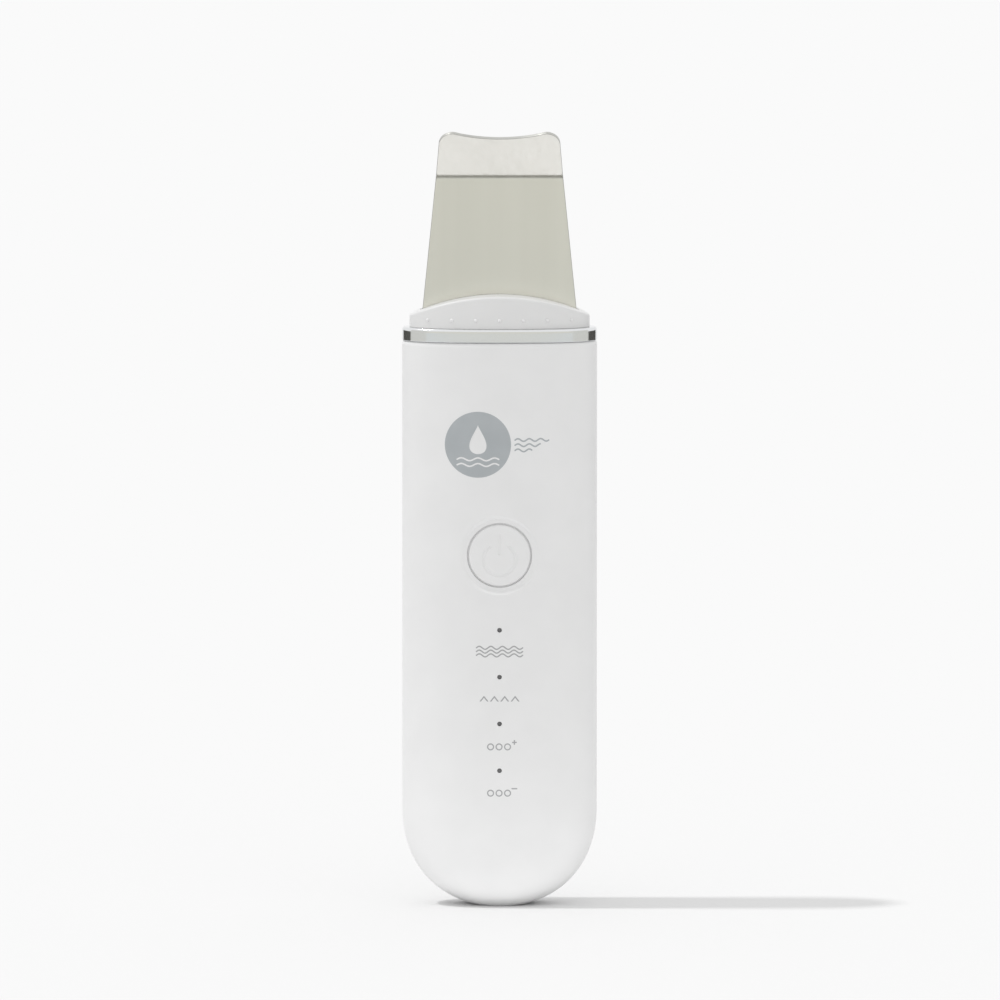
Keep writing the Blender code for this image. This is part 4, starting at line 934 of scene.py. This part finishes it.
def power_button():
    """A cap whose face carries a shallow pressed-in sign, with a rounded rim and a hidden flange."""
    work = Patchwork()
    count = 128
    rim = circle(0, BUTTON_Z, BUTTON_RADIUS, count)
    loops, levels = [rim(-BUTTON_EDGE)], [np.zeros(count)]
    for path in power_symbol():
        for width, share in SIGN_SLOPE:
            loops.append(stroke(path, width * MM))
            levels.append(np.full(len(loops[-1]), share))
    paths = np.concatenate(power_symbol())
    grid = np.arange(-6.0, 6.01, 0.75) * MM
    extra = [np.array([x, BUTTON_Z + z]) for x in grid for z in grid
             if np.hypot(x, z) < BUTTON_RADIUS - BUTTON_EDGE - 0.4 * MM]
    extra = [spot for spot in extra if np.linalg.norm(paths - spot, axis=1).min() > 0.8 * MM]
    flat, found = triangles(loops, extra, lambda c: True)
    sunk = np.concatenate([*levels, np.zeros(len(extra))])
    points = plane_rows(flat, BUTTON_FACE + SIGN_SINK * sunk)
    normals = np.zeros_like(points)
    for ids in found:
        n = newell(points[ids])
        normals[ids] += -n if n[1] > 0 else n
    normals[:count] = FRONT
    work.patch(found, points, unit(normals))
    out = outward(rim(1), BUTTON_Z)
    rows = []
    for c, s in quarter(7):
        ring = plane_rows(rim(-BUTTON_EDGE * (1 - s)), BUTTON_FACE + BUTTON_EDGE * (1 - c))
        rows.append((ring, unit(FRONT * c + out * s)))
    step_y, flange_y = BUTTON_FACE + BUTTON_STEP[1], BUTTON_FLANGE[1]
    work.strips([*rows, (plane_rows(rim(0), step_y), out)])
    wide, flange = (circle(0, BUTTON_Z, radius, count)(0) for radius in (BUTTON_STEP[0], BUTTON_FLANGE[0]))
    work.strip(plane_rows(rim(0), step_y), plane_rows(wide, step_y), FRONT)
    work.strip(plane_rows(wide, step_y), plane_rows(wide, flange_y), out)
    near, far = plane_rows(flange, flange_y), plane_rows(flange, BUTTON_BACK)
    work.strip(plane_rows(wide, flange_y), near, FRONT)
    work.strip(near, far, out)
    work.face(far, facing=-FRONT)
    return work.make("power_button_cap", "button", [WHITE], ("power_button",))


def light_guide():
    """The smoked strip behind the casing with its four domed tips and four stubs."""
    work = Patchwork()
    box_low, box_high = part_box("light_guide")
    half_z, centre_z = (box_high.z - box_low.z) / 2, (box_low.z + box_high.z) / 2
    outline = rounded_box(0, centre_z, box_high.x, half_z, 0.4 * MM, 4, 24)(0)
    pins = [circle(0, z, LENS_RADIUS, 32)(0) for z in LIGHT_Z]
    for y, facing, tip, dome_height in zip(GUIDE, (-1, 1), (LENS_FACE, box_high.y), (LENS_DOME, 0.0)):
        work.pane(outline, pins, y, facing)
        for pin, z in zip(pins, LIGHT_Z):
            out = outward(pin, z)
            shoulder = plane_rows(pin, tip - facing * dome_height)
            work.strip(plane_rows(pin, y), shoulder, out)
            if not dome_height:
                work.face(shoulder, facing=(0, facing, 0))
                continue
            rows = [(shoulder, unit(out - facing * 0.5 * FRONT))]
            for share in np.arange(1, 6) / 6:
                ring = (pin - (0, z)) * (1 - share) + (0, z)
                sink = dome_height * (1 - share) ** 2
                normals = unit(out * (1 - share) * 0.6 - facing * FRONT)
                rows.append((plane_rows(ring, tip - facing * sink), normals))
            work.strips(rows)
            work.face(rows[-1][0], [-facing * FRONT] * len(pin))
    work.strip(*(plane_rows(outline, y) for y in GUIDE), -inward(outline))
    return work.make("light_guide_fine", "casing", [LENS], ("light_guide",))


def pad_on_back(work, loop, edge, floor, spacing, grips=None):
    """A plug or flap whose outer face follows the casing's back; returns its inner outline."""
    outline = loop(-edge)
    border = loop(-edge - 0.3 * spacing)
    grid = between(outline.min(axis=0) + spacing, outline.max(axis=0), spacing)
    flat, found = fill(outline, (), [spot for spot in grid if inside(border, spot)])
    points, normals = on_form(flat, 1)
    points = points + PAD_INSET * FRONT
    if grips is not None:
        points, normals = grips(points, normals)
    work.patch(found, points, normals)
    out = -inward(loop(0))
    first, n_first = points[: len(outline)], normals[: len(outline)]
    rows = [(first, n_first)]
    for c, s in quarter(5, 1):
        ring = plane_rows(loop(-edge * (1 - s)), first[:, 1] - edge * (1 - c))
        rows.append((ring, unit(n_first * c + out * s)))
    work.strips(rows)
    end = plane_rows(loop(0), floor)
    work.strip(rows[-1][0], end, out)
    return end


def screw_plugs():
    for k, plug in enumerate(PLUGS, 1):
        work = Patchwork()
        loop = circle(plug.x, plug.z, PLUG_RADIUS, 48)
        work.face(pad_on_back(work, loop, 0.2 * MM, low(f"screw_plug_{k}").y, 0.5 * MM), facing=FRONT)
        work.make(f"screw_plug_fine_{k}", "casing", [RUBBER], (f"screw_plug_{k}",))


def thumb_grip(points, normals):
    """Fine raised bars near the flap's upper edge, as moves of its outer points."""
    points, normals = points.copy(), normals.copy()
    bars, first, pitch, half, height = GRIP
    across = smooth(np.abs(points[:, 0]), 3.4 * MM, 2.9 * MM)
    for k in range(bars):
        off = points[:, 2] - (COVER[1].z - first - pitch * k)
        near = np.abs(off) / half
        points[:, 1] += height * np.maximum(1 - near**2, 0) * across
        normals[:, 2] += 2 * height * off / half**2 * (near < 1) * across
    return points, unit(normals)


def port_cover():
    """The flap, with grip bars and the plug that enters the socket."""
    work = Patchwork()
    loop = rounded_box(0, COVER_Z, COVER[1].x, COVER[1].z - COVER_Z, COVER_CORNER)
    pad_on_back(work, loop, 0.25 * MM, COVER_BACK, 0.3 * MM, thumb_grip)
    plug = rounded_box(0, PORT_Z, *PORT_PLUG)
    inlet, chamfer = plug(0), 0.2 * MM
    work.pane(loop(0), [inlet], COVER_BACK, -1)
    out = -inward(inlet)
    rim, tip = plane_rows(inlet, COVER[0].y + chamfer), plane_rows(plug(-chamfer), COVER[0].y)
    work.strip(plane_rows(inlet, COVER_BACK), rim, out)
    work.strip(rim, tip, out, unit(out + FRONT))
    work.face(tip, facing=FRONT)
    return work.make("port_cover_flap", "cover", [RUBBER], ("port_cover",))


# Prints: thin ink layers that follow the casing's front.


def wave(x0, x1, z, height, turns, points=40):
    x = np.linspace(x0, x1, points)
    return np.column_stack([x, z + height * np.sin((x - x0) / (x1 - x0) * 2 * math.pi * turns)])


def ink_layer(name, shapes, finish_used, holes=()):
    """Closed thin slabs over the casing for each outline, cut by holes."""
    work = Patchwork()
    spacing = 0.6 * MM
    for number, outline in enumerate(shapes):
        cutters = [hole for owner, hole in holes if owner == number]
        edges = np.concatenate([outline, *cutters])
        extra = []
        for spot in between(outline.min(axis=0) + spacing / 2, outline.max(axis=0), spacing):
            clear = np.linalg.norm(edges - spot, axis=1).min() > 0.2 * MM
            if clear and inside(outline, spot) and not any(inside(c, spot) for c in cutters):
                extra.append(spot)
        flat, found = fill(outline, cutters, extra)
        points, normals = on_form(flat, -1)
        over, under = points + INK_DEPTHS[0] * normals, points - INK_DEPTHS[1] * normals
        work.patch(found, over, normals)
        work.patch(found, under, -normals)
        start = 0
        for ring in (outline, *cutters):
            span = slice(start, start + len(ring))
            work.strip(over[span], under[span], inward(ring) * (1 if start else -1))
            start += len(ring)
    return work.make(name, "casing", [finish_used], slot_name="black_plastic")


def droplet(x, z, radius, count=48):
    """A drop with its point upwards."""
    angles = np.linspace(0, 2 * math.pi, count, endpoint=False)
    bulge = np.sin(angles / 2) ** 1.6
    return np.column_stack([x + radius * np.sin(angles) * bulge * 1.15, z + radius * 1.35 * np.cos(angles)])


def emblem():
    """A plain disc with a drop and ripples left clear, and three ripples beside it."""
    x, z, radius = EMBLEM
    reach = 4.4 * MM
    cut = [droplet(x, z + 1.1 * MM, 2.3 * MM)]
    for step in (3.1, 4.3):
        cut.append(stroke(wave(x - reach, x + reach, z - step * MM, 0.3 * MM, 2.5), 0.17 * MM))
    shapes = [circle(x, z, radius, 128)(0)]
    start, length = 3.3, 2.4
    for up, end in ((1.0, 10.4), (-0.1, 8.6), (-1.2, 6.8)):
        ripple = wave(start * MM, end * MM, z + up * MM, 0.28 * MM, (end - start) / length)
        shapes.append(stroke(ripple, 0.16 * MM))
    ink_layer("print_emblem", shapes, INK, [(0, hole) for hole in cut])


def line(x0, z0, x1, z1, points=5):
    share = np.linspace(0, 1, points)[:, None]
    return np.array([x0, z0]) * (1 - share) + np.array([x1, z1]) * share


def chevron(x, z):
    """An arrow head pointing up, mitred at its point."""
    corners = [(-0.95, -0.6), (0, 0.62), (0.95, -0.6), (0.62, -0.6), (0, 0.2), (-0.62, -0.6)]
    corners = np.array(corners) * MM + (x, z)
    return np.concatenate([line(*a, *b, 4)[:-1] for a, b in zip(corners, np.roll(corners, -1, axis=0))])


def mode_marks():
    """Simple signs under the lights: ripples, rising chevrons, and rings with a plus or a minus."""
    rows = [BUTTON_Z - drop for drop in MARK_DROPS]
    reach, t = 4.9 * MM, MARK_HALF
    levels = [rows[0] + up * MM for up in (0.75, -0.05, -0.85)]
    shapes = [stroke(wave(-reach, reach, z, 0.32 * MM, 4, 64), t) for z in levels]
    shapes += [chevron(x * MM, rows[1]) for x in (-3.3, -1.1, 1.1, 3.3)]
    x, arm = 3.15 * MM, 0.5 * MM
    quadrant = [(arm, t), (t, t), (t, arm)]
    plus = [*quadrant, *((-a, b) for a, b in quadrant[::-1])]
    plus += [(-a, -b) for a, b in plus]
    holes = []
    for z, sign in zip(rows[2:], ("plus", "minus")):
        for ring_x in (-1.9, -0.1, 1.7):
            holes.append((len(shapes), circle(ring_x * MM, z, 0.5 * MM, 24)(0)))
            shapes.append(circle(ring_x * MM, z, 0.75 * MM, 32)(0))
        z += 0.95 * MM
        minus = stroke(line(x - arm, z, x + arm, z), t)
        shapes.append(np.array([(x + a, z + b) for a, b in plus]) if sign == "plus" else minus)
    ink_layer("print_modes", shapes, LABEL_INK, holes)


# Studio.


def plane(name, corners, material):
    mesh = bpy.data.meshes.new(name)
    mesh.from_pydata(corners, [], [(0, 1, 2, 3)])
    mesh.materials.append(material)
    obj = put(name, mesh)
    return obj


def paper(name, colour):
    material = node_material(name)
    shader = material.node_tree.nodes["Principled BSDF"]
    shader.inputs["Base Color"].default_value = (*colour, 1)
    shader.inputs["Roughness"].default_value = 1.0
    shader.inputs["Specular IOR Level"].default_value = 0.0
    return material


def glow(name, colour):
    material = node_material(name)
    tree = material.node_tree
    tree.nodes.clear()
    light = node(tree, "ShaderNodeEmission", Color=(*colour, 1), Strength=1.0)
    out = node(tree, "ShaderNodeOutputMaterial")
    tree.links.new(light.outputs["Emission"], out.inputs["Surface"])
    return material


def card(name, corners, colour):
    """A studio card that only reflections see."""
    obj = plane(name, corners, glow(name + "_light", colour))
    obj.visible_camera = obj.visible_diffuse = obj.visible_shadow = False
    obj.visible_transmission = obj.visible_volume_scatter = False
    return obj


def upright(angle, distance, half_width, z0, z1):
    """Corners of an upright card facing the axis; angle 0 is in front, 90 on the right."""
    a = math.radians(angle)
    centre = Vector((math.sin(a), -math.cos(a), 0)) * distance
    across = Vector((math.cos(a), math.sin(a), 0)) * half_width
    return [(*(centre + across * s).xy, z) for s, z in ((-1, z0), (1, z0), (1, z1), (-1, z1))]


def over_floor(near, far, half=0.09):
    """Corners of a level card just over the floor."""
    z = 0.001
    return [(-half, near, z), (half, near, z), (half, far, z), (-half, far, z)]


def studio():
    scene = bpy.context.scene
    for key, value in (("view_transform", "Standard"), ("look", "None"), ("exposure", 0.0), ("gamma", 1.0)):
        setattr(scene.view_settings, key, value)
    corners = [(x * FLOOR_HALF, y * FLOOR_HALF, 0) for x, y in ((-1, -1), (1, -1), (1, 1), (-1, 1))]
    plane("floor", corners, paper("floor_paper", (FLOOR_ALBEDO,) * 3))
    world = bpy.data.worlds.new("studio")
    scene.world = world
    world.use_nodes = True
    background = world.node_tree.nodes["Background"]
    background.inputs["Color"].default_value = (*WORLD_COLOUR, 1)
    background.inputs["Strength"].default_value = 1.0
    sun = bpy.data.lights.new("window", "SUN")
    sun.energy, sun.angle = SUN_STRENGTH, SUN_ANGLE
    put("window", sun, direction=Vector((math.cos(SUN_HEIGHT), 0, -math.sin(SUN_HEIGHT))))
    card("card_front_low", upright(0, 0.5, 0.6, 0.0, CARD_SPLIT), (0.735, 0.765, 0.765))
    card("card_front", upright(0, 0.5, 0.6, CARD_SPLIT, 0.45), (0.765, 0.755, 0.69))
    card("card_floor_near", over_floor(-0.012, -0.09), (1.2, 1.19, 1.22))
    card("card_floor_far", over_floor(-0.092, -0.45), (0.2, 0.195, 0.17))
    for side, sign in (("right", 1), ("left", -1)):
        card(f"card_turn_{side}", upright(67 * sign, 0.5, 0.18, 0.0, 0.4), (0.70, 0.70, 0.66))
        card(f"card_side_{side}", upright(110 * sign, 0.4, 0.19, 0.03, 0.16), (0.09, 0.088, 0.08))


def camera():
    data = bpy.data.cameras.new("camera")
    data.sensor_width, data.lens, data.clip_end = VIEW_SENSOR, VIEW_LENS, 100
    back = Vector((0, -math.cos(VIEW_HEIGHT), math.sin(VIEW_HEIGHT)))
    distance = VIEW_WIDTH * VIEW_LENS / VIEW_SENSOR
    bpy.context.scene.camera = put("camera", data, VIEW_CENTRE + back * distance, -back)


def floor_glow(pieces):
    """Light returned by the bright floor just in front, on the pieces only."""
    data = bpy.data.lights.new("floor_glow", "AREA")
    data.shape, (data.size, data.size_y) = "RECTANGLE", GLOW_SIZE
    data.energy = GLOW_POWER
    lamp = put("floor_glow", data, GLOW_PLACE)
    lamp.rotation_euler = (math.pi, 0, 0)
    lamp.visible_camera = lamp.visible_glossy = False
    lit = bpy.data.collections.new("lit_by_floor")
    for piece in pieces:
        lit.objects.link(piece)
    lamp.light_linking.receiver_collection = lit


def build():
    finish_kept_nodes()
    shell("front_casing", -1, front_holes(), "front_shell")
    shell("back_casing", 1, back_holes(), "back_shell")
    for make in (
        power_button, light_guide, screw_plugs, port_cover,
        electrode_band, blade_collar, pips, blade, emblem, mode_marks,
    ):
        make()
    meshes = [obj for obj in bpy.context.scene.objects if obj.type == "MESH"]
    floor_glow([obj for obj in meshes if not obj.name.startswith(("floor", "card_"))])


camera()
studio()
build()
